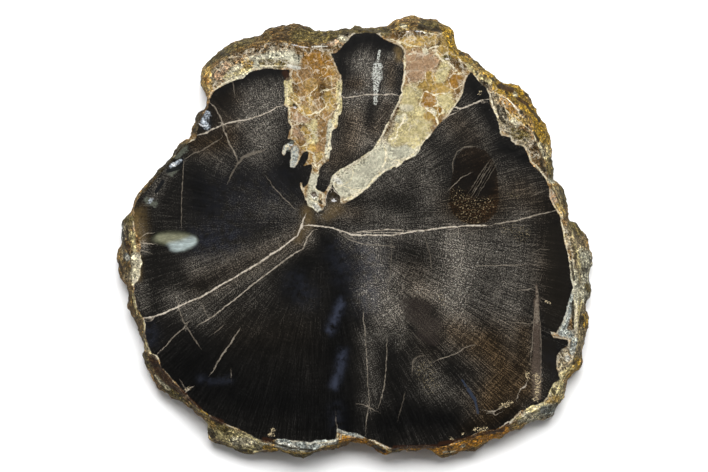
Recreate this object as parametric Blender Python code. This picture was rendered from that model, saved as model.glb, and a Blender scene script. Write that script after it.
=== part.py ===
"""A polished slice of petrified wood, lying on its sawn back, built as one solid stone.

The slice is a thin cross-cut of a fossil log. Its upper face is ground flat and polished, its back is
sawn flat, and the rind of the log runs round it between the two. The rind leans outwards from the
polished face, is widest below the middle of its height, and tucks in again above the back.

Units are metres and +Z is up. The origin is on the back face, at the middle of the slice's box.
"""

import math

import bmesh
import bpy
import numpy as np
from mathutils import Vector, noise

NAME = "petrified_wood_slice"

# Driving dimensions
WIDTH = 0.1425  # left to right, over the rind
THICKNESS = 0.0125  # sawn back to polished face

# Both outlines are read off the photograph, which looks straight down on the polished face. They are in
# its pixels, 708 wide and 472 high, with y down.
PHOTO_LEFT, PHOTO_RIGHT = 117.0, 592.5  # the rind's outermost pixels
PHOTO_MIDDLE = (354.75, 236.5)
RIND_PIXEL = WIDTH / (PHOTO_RIGHT - PHOTO_LEFT)
FACE_PIXEL = RIND_PIXEL * 0.9935  # the face is nearer the lens, so a pixel covers less of it

# The outer edge of the rind as seen from above, clockwise from the left
RIND_OUTLINE = [
    (117, 261), (118.5, 251), (122.5, 243), (121.5, 233), (122, 221), (127, 215.5), (132, 212),
    (134, 203), (139, 192), (147, 183.5), (154, 175), (163, 167), (170, 158), (177, 149.5),
    (183, 142), (191, 138), (192.5, 127), (199, 115), (205.5, 107), (207.5, 97), (202, 87),
    (200.5, 79), (203, 70), (209, 61), (220, 51), (230, 44.5), (245, 39), (257, 35.5),
    (266, 31), (274, 26.5), (286, 24.5), (297, 24), (307, 27), (316, 30), (327, 31.5),
    (339, 29), (350, 29), (356, 25.5), (366, 26.5), (386, 27), (396, 20.5), (405, 16.5),
    (413, 15), (423, 18.5), (434, 19.5), (444, 25), (452, 29.5), (455.5, 40), (457.5, 49),
    (467, 53.5), (476, 60.5), (485, 69), (493, 73), (499, 80.5), (510, 84), (521, 88),
    (528, 95), (533, 106), (541, 118), (548, 129), (550, 142), (550.5, 155), (553.5, 168),
    (553, 179), (561, 187), (565, 198), (568, 210), (570, 220), (576, 223), (584, 233),
    (589, 245), (591.5, 255), (592.5, 263), (589.5, 276), (591.5, 289), (587.5, 299),
    (586.5, 309), (589, 320), (586, 334), (583, 346), (580, 356), (581, 366), (573, 374),
    (567.5, 382), (563, 393), (558.5, 406), (551, 415.5), (541, 419.5), (530, 420.5),
    (521, 428), (512, 432), (502, 437.5), (490, 440), (479, 449), (463, 451.5), (447, 456),
    (436, 454.5), (428, 448.5), (415, 450), (398, 451), (386, 455), (377, 450.5), (367, 443),
    (352, 442.5), (338, 447), (324, 448.5), (312, 454), (302, 458), (289, 452.5), (276, 450.5),
    (263, 451), (251, 454.5), (238, 452.5), (227, 446.5), (211, 441.5), (207.5, 432),
    (205, 420.5), (192, 408.5), (178, 400), (163, 389.5), (152, 380), (145, 364), (142, 356),
    (144.5, 348), (140, 334), (135, 321), (128.5, 308), (129, 293), (122.5, 279), (119, 269),
]

# The edge of the polished face, where the grinding stopped at the rind
FACE_OUTLINE = [
    (131, 266), (131.5, 252), (134, 238), (132.5, 224), (134.5, 207), (138.5, 196), (147, 187),
    (157, 174.5), (166, 166), (173, 157), (181, 147.5), (190, 140.5), (194.5, 133), (199.5, 118),
    (207.5, 106), (208, 95), (207, 82), (212, 70), (224, 59.5), (240, 52), (257, 46.5),
    (275, 42), (292, 44), (306, 47), (322, 44), (334, 40), (347, 34), (362, 32.5), (380, 33),
    (397, 33), (414, 30), (430, 33), (442, 33), (448, 47), (459, 58), (476, 69.5), (492, 83),
    (506, 97.5), (520, 110), (528, 123), (536, 139), (541, 158), (549, 178), (555, 195),
    (561.5, 210), (567, 229), (573, 252), (576, 279), (578, 305), (577.5, 330), (577, 347),
    (570, 365), (561, 381), (556, 396), (549, 405), (532, 411.5), (516, 421), (502, 428),
    (486, 432), (470, 438), (456, 443), (441, 447), (424, 445), (404, 446.5), (391, 449),
    (379, 445), (363, 438), (342, 439), (326, 446), (306, 451), (288, 448.5), (266, 444),
    (248, 433.5), (229, 426.5), (207, 415), (194, 403.5), (181, 391), (166, 375), (158, 361),
    (150, 351), (145, 335), (144, 320), (137, 308), (134, 292), (132, 279),
]

# The mesh
CURVE_STEPS = 6  # points between two outline points
COLUMNS = 264  # upright strips of faces round the rind
ROWS = 9  # steps down the rind
EDGE_BEVEL = 0.00025  # the eased edge of the polished face
SHARP_ANGLE = math.radians(40)

# The rind's relief
WIDEST = 0.67  # how far down it is widest, as a share of the thickness
LEAST_LEAN = 0.0004  # the rind leans out at least this far
CHIP_DEPTH = 0.0016  # how far it tucks in above the back
CHIP_SIZE = 0.011
LUMP_HEIGHT = 0.0005
LUMP_SIZE = 0.0055


def to_plan(pixel, size):
    """A pixel of the photograph as a place on the slice, in metres from its middle."""
    x, y = pixel
    return (x - PHOTO_MIDDLE[0]) * size, (PHOTO_MIDDLE[1] - y) * size


def rounded(points):
    """A closed Catmull-Rom curve through the points."""
    before = np.roll(points, 1, axis=0)
    after = np.roll(points, -1, axis=0)
    next_after = np.roll(points, -2, axis=0)
    curve = []
    for step in range(CURVE_STEPS):
        t = step / CURVE_STEPS
        linear = after - before
        square = 2 * before - 5 * points + 4 * after - next_after
        cube = 3 * points - before - 3 * after + next_after
        curve.append(0.5 * (2 * points + linear * t + square * t**2 + cube * t**3))
    return np.stack(curve, axis=1).reshape(-1, 2)


def radii(outline, pixel_size, angles):
    """The outline's distance from the middle of the slice at each angle."""
    curve = rounded(np.array([to_plan(pixel, pixel_size) for pixel in outline]))
    bearings = np.arctan2(curve[:, 1], curve[:, 0])
    return np.interp(angles, bearings, np.hypot(curve[:, 0], curve[:, 1]), period=math.tau)


def rind_strip(angle, face_radius, rind_radius):
    """The points of one upright strip of the rind, from the polished face down to the back."""
    out = Vector((math.cos(angle), math.sin(angle), 0))
    lean = max(rind_radius - face_radius, LEAST_LEAN)
    chip = CHIP_DEPTH * (0.55 + 0.45 * noise.noise(out * rind_radius / CHIP_SIZE))
    points = [out * (face_radius - EDGE_BEVEL) + Vector((0, 0, THICKNESS))]
    for row in range(ROWS + 1):
        down = row / ROWS
        swell = math.sin(min(1.0, down / WIDEST) * math.pi / 2)
        tuck = max(0.0, (down - WIDEST) / (1 - WIDEST)) ** 2
        place = out * (face_radius + lean * swell - chip * tuck)
        place.z = (THICKNESS - EDGE_BEVEL) * (1 - down)
        lump = noise.noise(place / LUMP_SIZE) * LUMP_HEIGHT * math.sin(down * math.pi)
        points.append(place + out * lump)
    return points


def centre_on_origin(mesh):
    """Moves the stone sideways so that the middle of its box is over the origin."""
    plan = np.array([vertex.co.to_2d() for vertex in mesh.verts])
    middle = (plan.min(axis=0) + plan.max(axis=0)) / 2
    bmesh.ops.translate(mesh, verts=mesh.verts, vec=(-middle[0], -middle[1], 0))


def slice_mesh():
    """The whole stone: the rind's strips, closed by a fan of faces above and one below."""
    angles = np.linspace(0, math.tau, COLUMNS, endpoint=False)
    face_radii = radii(FACE_OUTLINE, FACE_PIXEL, angles)
    rind_radii = radii(RIND_OUTLINE, RIND_PIXEL, angles)
    mesh = bmesh.new()
    strips = []
    for column in zip(angles, face_radii, rind_radii):
        strips.append([mesh.verts.new(point) for point in rind_strip(*column)])
    face_middle = mesh.verts.new((0, 0, THICKNESS))
    back_middle = mesh.verts.new((0, 0, 0))
    for strip, following in zip(strips, strips[1:] + strips[:1]):
        for upper in range(len(strip) - 1):
            lower = upper + 1
            mesh.faces.new((strip[upper], strip[lower], following[lower], following[upper]))
        mesh.faces.new((face_middle, strip[0], following[0]))
        mesh.faces.new((back_middle, following[-1], strip[-1]))
    bmesh.ops.triangulate(mesh, faces=mesh.faces)
    centre_on_origin(mesh)
    made = bpy.data.meshes.new(NAME)
    mesh.to_mesh(made)
    mesh.free()
    made.shade_smooth()
    made.set_sharp_from_angle(angle=SHARP_ANGLE)
    return made


def stone_material():
    """Dark agatised wood with a polish."""
    material = bpy.data.materials.new("polished_petrified_wood")
    material.use_nodes = True
    shader = material.node_tree.nodes["Principled BSDF"]
    shader.inputs["Base Color"].default_value = (0.028, 0.022, 0.018, 1.0)
    shader.inputs["Roughness"].default_value = 0.2
    shader.inputs["Metallic"].default_value = 0.0
    return material


def clear_scene():
    for old in list(bpy.data.objects):
        bpy.data.objects.remove(old)


def main():
    clear_scene()
    stone = bpy.data.objects.new(NAME, slice_mesh())
    stone.data.materials.append(stone_material())
    bpy.context.scene.collection.objects.link(stone)


main()
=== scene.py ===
"""The looks of a polished slice of petrified wood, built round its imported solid.

One mesh stands for the stone: a flat polished face, a lumpy natural rind and a flat sawn back. What the
face shows (dark wood, pale crystalline wedges, veins, stains) is drawn as outlines and lines read off the
photograph. Each becomes a distance or a strength stored on the mesh's points, and the materials turn
those into crisp, ragged colour with noise of their own.

Run it as a script. It is laid out as an add-on, with its sizes and colours in property groups.
"""

import math

import bpy
import numpy as np
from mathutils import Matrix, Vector, noise
from mathutils.geometry import delaunay_2d_cdt


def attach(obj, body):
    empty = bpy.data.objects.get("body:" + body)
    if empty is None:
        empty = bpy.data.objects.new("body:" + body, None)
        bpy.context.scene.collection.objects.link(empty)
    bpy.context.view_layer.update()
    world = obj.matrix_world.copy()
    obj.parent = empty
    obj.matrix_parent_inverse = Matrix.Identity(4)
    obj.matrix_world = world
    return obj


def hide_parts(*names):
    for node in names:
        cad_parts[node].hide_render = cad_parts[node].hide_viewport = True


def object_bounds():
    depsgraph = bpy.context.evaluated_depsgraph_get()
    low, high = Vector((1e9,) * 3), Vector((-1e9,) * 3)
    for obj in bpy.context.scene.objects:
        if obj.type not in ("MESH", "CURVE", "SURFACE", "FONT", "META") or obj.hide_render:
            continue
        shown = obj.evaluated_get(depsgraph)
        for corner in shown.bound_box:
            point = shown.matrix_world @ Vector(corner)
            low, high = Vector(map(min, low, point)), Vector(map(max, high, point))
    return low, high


bl_info = {
    "name": "Petrified Wood Slice",
    "version": (1, 0, 0),
    "blender": (4, 5, 0),
    "location": "View3D > Sidebar > Petrified Wood",
    "description": "Builds a polished slice of petrified wood and a plain studio round it",
    "category": "Add Mesh",
}

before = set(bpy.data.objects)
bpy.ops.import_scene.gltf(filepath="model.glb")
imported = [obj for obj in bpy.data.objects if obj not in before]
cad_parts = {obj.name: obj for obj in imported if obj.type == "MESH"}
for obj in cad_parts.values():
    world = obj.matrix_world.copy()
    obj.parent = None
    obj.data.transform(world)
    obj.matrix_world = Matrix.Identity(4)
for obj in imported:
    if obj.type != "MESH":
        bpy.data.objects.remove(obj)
CAD_LOW, CAD_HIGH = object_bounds()

NODE = "petrified_wood_slice"
PIECE = "polished_slice"
BODY = "root"
THICKNESS = CAD_HIGH.z - CAD_LOW.z

# Every outline and line below is in the photograph's pixels, 708 wide and 472 high, with y down. Its points
# are written as x and y in turn, after the values that its list's own comment names.
PHOTO_SIZE = (708, 472)
PHOTO_LEFT, PHOTO_RIGHT = 117.0, 592.5  # the rind's outermost pixels
PHOTO_MIDDLE = (354.75, 236.5)
RIND_PIXEL = (CAD_HIGH.x - CAD_LOW.x) / (PHOTO_RIGHT - PHOTO_LEFT)
FACE_PIXEL = RIND_PIXEL * 0.9935  # the face is nearer the lens, so a pixel covers less of it
PITH = (320, 222)  # the middle of the tree's rings

# The outer edge of the rind as seen from above, clockwise from the left
RIND_OUTLINE = [
    117, 261, 118.5, 251, 122.5, 243, 121.5, 233, 122, 221, 127, 215.5, 132, 212, 134, 203, 139, 192, 147,
    183.5, 154, 175, 163, 167, 170, 158, 177, 149.5, 183, 142, 191, 138, 192.5, 127, 199, 115, 205.5, 107,
    207.5, 97, 202, 87, 200.5, 79, 203, 70, 209, 61, 220, 51, 230, 44.5, 245, 39, 257, 35.5, 266, 31, 274,
    26.5, 286, 24.5, 297, 24, 307, 27, 316, 30, 327, 31.5, 339, 29, 350, 29, 356, 25.5, 366, 26.5, 386, 27,
    396, 20.5, 405, 16.5, 413, 15, 423, 18.5, 434, 19.5, 444, 25, 452, 29.5, 455.5, 40, 457.5, 49, 467,
    53.5, 476, 60.5, 485, 69, 493, 73, 499, 80.5, 510, 84, 521, 88, 528, 95, 533, 106, 541, 118, 548, 129,
    550, 142, 550.5, 155, 553.5, 168, 553, 179, 561, 187, 565, 198, 568, 210, 570, 220, 576, 223, 584, 233,
    589, 245, 591.5, 255, 592.5, 263, 589.5, 276, 591.5, 289, 587.5, 299, 586.5, 309, 589, 320, 586, 334,
    583, 346, 580, 356, 581, 366, 573, 374, 567.5, 382, 563, 393, 558.5, 406, 551, 415.5, 541, 419.5, 530,
    420.5, 521, 428, 512, 432, 502, 437.5, 490, 440, 479, 449, 463, 451.5, 447, 456, 436, 454.5, 428, 448.5,
    415, 450, 398, 451, 386, 455, 377, 450.5, 367, 443, 352, 442.5, 338, 447, 324, 448.5, 312, 454, 302,
    458, 289, 452.5, 276, 450.5, 263, 451, 251, 454.5, 238, 452.5, 227, 446.5, 211, 441.5, 207.5, 432, 205,
    420.5, 192, 408.5, 178, 400, 163, 389.5, 152, 380, 145, 364, 142, 356, 144.5, 348, 140, 334, 135, 321,
    128.5, 308, 129, 293, 122.5, 279, 119, 269,
]

# The edge of the polished face, where the grinding stopped at the rind
FACE_OUTLINE = [
    131, 266, 131.5, 252, 134, 238, 132.5, 224, 134.5, 207, 138.5, 196, 147, 187, 157, 174.5, 166, 166, 173,
    157, 181, 147.5, 190, 140.5, 194.5, 133, 199.5, 118, 207.5, 106, 208, 95, 207, 82, 212, 70, 224, 59.5,
    240, 52, 257, 46.5, 275, 42, 292, 44, 306, 47, 322, 44, 334, 40, 347, 34, 362, 32.5, 380, 33, 397, 33,
    414, 30, 430, 33, 442, 33, 448, 47, 459, 58, 476, 69.5, 492, 83, 506, 97.5, 520, 110, 528, 123, 536,
    139, 541, 158, 549, 178, 555, 195, 561.5, 210, 567, 229, 573, 252, 576, 279, 578, 305, 577.5, 330, 577,
    347, 570, 365, 561, 381, 556, 396, 549, 405, 532, 411.5, 516, 421, 502, 428, 486, 432, 470, 438, 456,
    443, 441, 447, 424, 445, 404, 446.5, 391, 449, 379, 445, 363, 438, 342, 439, 326, 446, 306, 451, 288,
    448.5, 266, 444, 248, 433.5, 229, 426.5, 207, 415, 194, 403.5, 181, 391, 166, 375, 158, 361, 150, 351,
    145, 335, 144, 320, 137, 308, 134, 292, 132, 279,
]

# The dark wood's edge on the face, clockwise from the upper left, straight across both wedges
WOOD_OUTLINE = [
    213, 92, 220, 87, 230, 82, 243, 78, 250, 72, 258, 70, 268, 68, 283, 70, 290, 69, 331, 54, 335, 53.5,
    340, 49, 347, 41, 353, 34.5, 365, 32.5, 376, 33, 382, 38, 390, 42, 471, 71, 480, 83, 486, 88, 489, 95,
    489.5, 101, 492, 108, 497, 117, 499, 125, 500, 133, 502, 136, 510, 137, 512, 142, 517, 145, 524, 146.5,
    527, 152, 530, 162, 538, 170, 545, 178, 549, 187, 549, 195, 552, 203, 556, 210, 560, 216, 561, 225, 563,
    233, 564, 242, 567, 250, 569, 262, 570, 270, 571, 279, 573, 287, 571, 294, 568, 303, 566, 312, 563, 321,
    560, 327, 556, 333, 549, 331, 553, 337, 560, 339, 568, 340, 568, 346, 561, 350, 557, 355, 556, 365, 558,
    372, 560, 380, 554, 383, 550, 390, 547, 397, 543, 402, 537, 405, 531, 405.5, 526, 409, 520, 411, 515,
    416, 510, 421.5, 503, 426, 495, 430, 487, 430.5, 478, 432, 470, 436.5, 462, 439, 455, 441.5, 447, 446,
    440, 447, 432, 446, 425, 445.5, 415, 447, 405, 447.5, 397, 448, 391, 448, 386, 446, 380, 443, 374,
    440, 368, 439, 362, 436, 356, 433, 348, 432, 340, 429.5, 336, 427, 337, 432, 336, 439, 330, 440, 316,
    440, 310, 442.5, 303, 441, 290, 440, 284, 439, 277, 439, 272, 441, 261, 440, 255, 438, 250, 434.5, 244,
    432, 238, 428.5, 230, 425.5, 222, 422, 216, 418, 208, 414, 201, 409.5, 196, 404, 190, 398, 185, 392,
    179, 386, 172, 379, 167, 372.5, 161, 368, 160, 362, 158, 356, 152, 353.5, 149, 347, 146.5, 340, 145,
    332, 145.5, 324, 144, 318, 140, 316, 137.5, 310, 136, 300, 134, 292, 134, 284, 138, 281, 140.5, 275,
    140.5, 268, 142.5, 263, 141, 259, 140, 254, 141, 247, 140, 238, 136, 234, 134, 226, 134, 207, 139, 198,
    147, 190, 155, 180, 163, 170, 170, 163, 176, 156, 182, 149, 188, 143, 195, 140, 197, 132, 199, 124, 203,
    115, 208, 107, 210, 99,
]

# The left crystalline wedge, from its upper left corner down to the pith and up again
LEFT_WEDGE = [
    290, 69, 289, 75, 286, 79, 284, 81, 284, 86, 285, 92, 285, 103, 284, 105, 288, 108, 288, 122, 290, 124,
    292, 127, 289, 131, 288, 139, 291, 140, 294, 140, 293, 144, 290, 147, 287, 143, 284, 145, 282, 150, 282,
    153, 284, 157, 287, 150, 291, 149, 291, 156, 290, 161, 290, 166, 292, 168, 295, 167, 298, 163, 300, 158,
    303, 153, 306, 151, 309, 152, 308, 158, 305, 164, 302, 168, 307, 165, 312, 164, 312, 169, 310, 177, 309,
    181, 306, 186, 303, 188, 301, 181, 300, 187, 303, 192, 304, 195, 305, 199, 307, 201, 308, 206, 313, 208,
    316, 211, 318, 213, 320, 211, 323, 210, 324, 207, 326, 205, 325, 200, 326, 195, 331, 187, 334, 181, 331,
    180, 330, 184, 327, 189, 324, 193, 318, 190, 315, 188, 317, 183, 317, 178, 319, 176, 319, 171, 320, 168,
    323, 164, 326, 162, 329, 161, 330, 152, 332, 149, 331, 145, 331, 136, 332, 131, 334, 129, 337, 128, 338,
    124, 338, 116, 341, 114, 342, 109, 342, 98, 341, 95, 342, 91, 342, 80, 341, 75, 339, 72, 337, 69, 336,
    65, 334, 61, 332, 56, 331, 54, 333, 46, 318, 45, 300, 48, 288, 54, 285, 62,
]

# The right crystalline wedge, from its upper left corner down to the pith and up again
RIGHT_WEDGE = [
    386, 40, 390, 42, 395, 43, 398, 45, 402, 48, 404, 50, 404, 55, 402, 60, 403, 64, 404, 66, 404, 72, 403,
    78, 402, 84, 401, 90, 402, 93, 400, 96, 398, 102, 396, 106, 394, 110, 392, 114, 390, 119, 388, 122, 385,
    126, 384, 130, 382, 134, 380, 138, 377, 142, 375, 146, 372, 150, 367, 153, 360, 158, 355, 161, 350, 164,
    345, 167, 340, 169.5, 335, 173, 332, 177, 331, 180, 332, 184, 336, 190, 340, 196, 340, 203, 341, 204,
    348, 202, 351, 200, 355, 198, 360, 194, 364, 191, 368, 188, 372, 184, 376, 180, 380, 176, 384, 172, 387,
    171, 391, 169, 394, 166, 396, 168.5, 399, 166, 402, 164, 405, 160, 411, 158, 415, 156, 419, 152, 421,
    147, 423, 143, 425, 140, 428, 138, 431, 135, 434, 130, 437, 126, 440, 123, 443, 120, 446, 118, 449, 115,
    451, 112, 455, 106, 457, 103, 459, 100, 462, 95, 463, 92, 464, 86, 465, 82, 467, 77, 471, 71, 470, 66,
    461, 60, 450, 50, 444, 37, 440, 34, 425, 36, 405, 36, 388, 35,
]

# Veins in the dark wood: width in pixels, strength, and the line's points
VEINS = [
    (1.5, 0.95, 302, 227, 306, 225, 314, 226, 321, 226, 333, 228, 345, 232, 353, 235, 375, 235, 392,
     235, 409, 232, 435, 229, 461, 226, 489, 225), (1.3, 0.6, 489, 225, 514, 221, 540, 214, 555, 211),
    (1.2, 0.8, 352, 233, 366, 231, 378, 230, 392, 229.5, 409, 231, 420, 230.5),
    (1.1, 0.4, 342, 235.5, 350, 240, 360, 243, 370, 245, 395, 246),
    (1.7, 0.95, 306, 215, 303, 220, 301, 228, 297, 236, 284, 246, 272, 254, 261, 262, 249, 269, 228,
     281, 214.5, 289, 200.5, 297, 188.5, 302, 176, 307.5, 162, 314, 152, 317, 143, 318),
    (1.3, 0.6, 157, 316, 150, 321, 146, 321),
    (1.3, 0.7, 314, 230, 311, 233, 307.5, 237.5, 303, 248.5, 289, 257, 275, 267, 265, 275.5, 249,
     287.5, 233.5, 300.5, 220, 311, 207.5, 320, 199, 325),
    (1.2, 0.5, 190, 321, 183, 329, 172, 338, 165, 347, 158, 354),
    (1.5, 0.5, 239, 330, 231, 343, 222, 355, 211, 374), (1.2, 0.3, 224, 325, 213, 334),
    (1.2, 0.35, 176, 297, 183, 321, 200, 348), (1.2, 0.35, 202, 304, 207, 316),
    (1.0, 0.45, 231, 370, 231, 378),
    (1.4, 0.85, 195, 136, 205, 133, 213, 129, 222, 125, 232, 122, 245, 120, 258, 116, 268, 112, 276,
     108, 284, 105),
    (1.4, 0.5, 209, 102, 215, 107, 219, 115, 222, 122, 224, 130, 229, 143, 234, 150, 238, 163),
    (3.0, 0.25, 236, 166, 243, 157, 254, 153, 265, 150), (2.0, 0.25, 236, 166, 232, 173, 228, 182),
    (1.3, 0.3, 185, 159, 193, 154, 203, 150, 222, 138),
    (0.9, 0.4, 184, 160, 183, 175, 182, 190, 181.5, 205, 181, 226), (1.0, 0.4, 237, 121, 239, 130),
    (1.0, 0.35, 232, 80, 235, 95), (0.8, 0.4, 266, 176, 272, 186, 282, 196, 290, 204, 299, 212),
    (1.5, 0.9, 451, 107, 455, 107, 460, 109, 466, 107, 474, 103, 482, 100, 490, 99),
    (1.2, 0.75, 444, 120, 450, 115, 456, 113, 460, 110), (1.0, 0.6, 482, 102.5, 489, 102),
    (0.9, 0.5, 363, 310, 366, 345, 368, 385, 369, 405, 368, 412, 366, 420, 366, 433),
    (0.9, 0.5, 387, 337, 386, 370, 384, 388, 381, 400, 378, 407),
    (1.0, 0.2, 392, 236, 391, 269, 387, 294), (1.0, 0.2, 406, 391, 398, 420),
    (1.1, 0.4, 358, 404, 365, 405, 370, 408, 378, 412), (1.1, 0.5, 516, 291, 525, 290, 535, 287),
    (1.2, 0.45, 543, 299, 550, 304), (1.0, 0.35, 475, 266, 500, 265, 530, 265),
    (1.0, 0.35, 508, 322.5, 531, 323.5), (1.0, 0.3, 523, 327, 529, 327),
    (1.1, 0.45, 434, 361.5, 442, 358, 455, 354.4, 464, 348, 470, 346, 475.5, 345),
    (1.0, 0.3, 452, 314, 462, 313, 470, 311.5), (1.0, 0.2, 425, 237, 430, 255, 432, 273),
    (1.5, 0.25, 412, 375, 413, 362, 417, 357, 426, 355),
    (1.2, 0.8, 341, 95, 345, 98, 352, 97, 360, 95.5, 370, 94.5, 383, 94.5, 392, 94, 398, 95.5, 401, 97),
    (1.0, 0.35, 386, 109, 384, 114, 381, 118, 379, 120, 379, 123),
    (1.6, 0.85, 331, 187, 336, 192, 341, 197), (1.4, 0.75, 333, 182, 337, 187, 340, 190),
    (1.6, 0.8, 331, 187, 327, 192, 325, 199, 327, 204),
    (1.1, 0.3, 452.5, 172, 453, 160, 457, 152, 465, 147, 478, 146.5),
    (1.1, 0.4, 470.5, 173, 462, 177, 455, 184, 449.5, 190), (0.9, 0.3, 494, 161, 483, 177, 471, 198),
    (0.9, 0.25, 490, 160, 479, 176, 469, 192), (0.8, 0.22, 497, 163, 487, 180, 476, 198),
    (1.0, 0.35, 440, 202, 449, 199.5), (1.0, 0.35, 532, 196, 539, 192.5, 545, 191),
    (1.0, 0.3, 533, 252, 540, 249, 547, 249),
    (1.0, 0.35, 536.5, 284, 536, 300, 534, 320, 532, 345, 530, 362),
    (1.0, 0.3, 537.5, 286, 539, 310, 541, 340, 541, 380), (1.4, 0.4, 537, 286, 537, 305, 537, 325),
    (2.2, 0.75, 526.5, 383, 524.5, 387, 520.5, 389), (1.6, 0.6, 521, 390, 518.5, 394, 517, 399),
    (1.5, 0.6, 502, 408, 496, 410.5, 489, 411.5, 483, 410), (1.4, 0.5, 490, 413, 496, 415.5, 501, 412),
    (2.0, 0.9, 513.5, 420.5, 508, 422, 502, 426), (1.3, 0.3, 335.5, 414, 336, 424, 338.5, 431),
    (2.2, 0.7, 186, 391.5, 189, 389.5, 192, 387.5), (1.6, 0.35, 181, 381, 184, 387, 188, 388),
    (1.4, 0.8, 140, 243, 155, 244), (1.2, 0.7, 140, 238, 147, 233, 153, 233),
    (1.2, 0.6, 137, 250, 150, 253),
]

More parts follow.
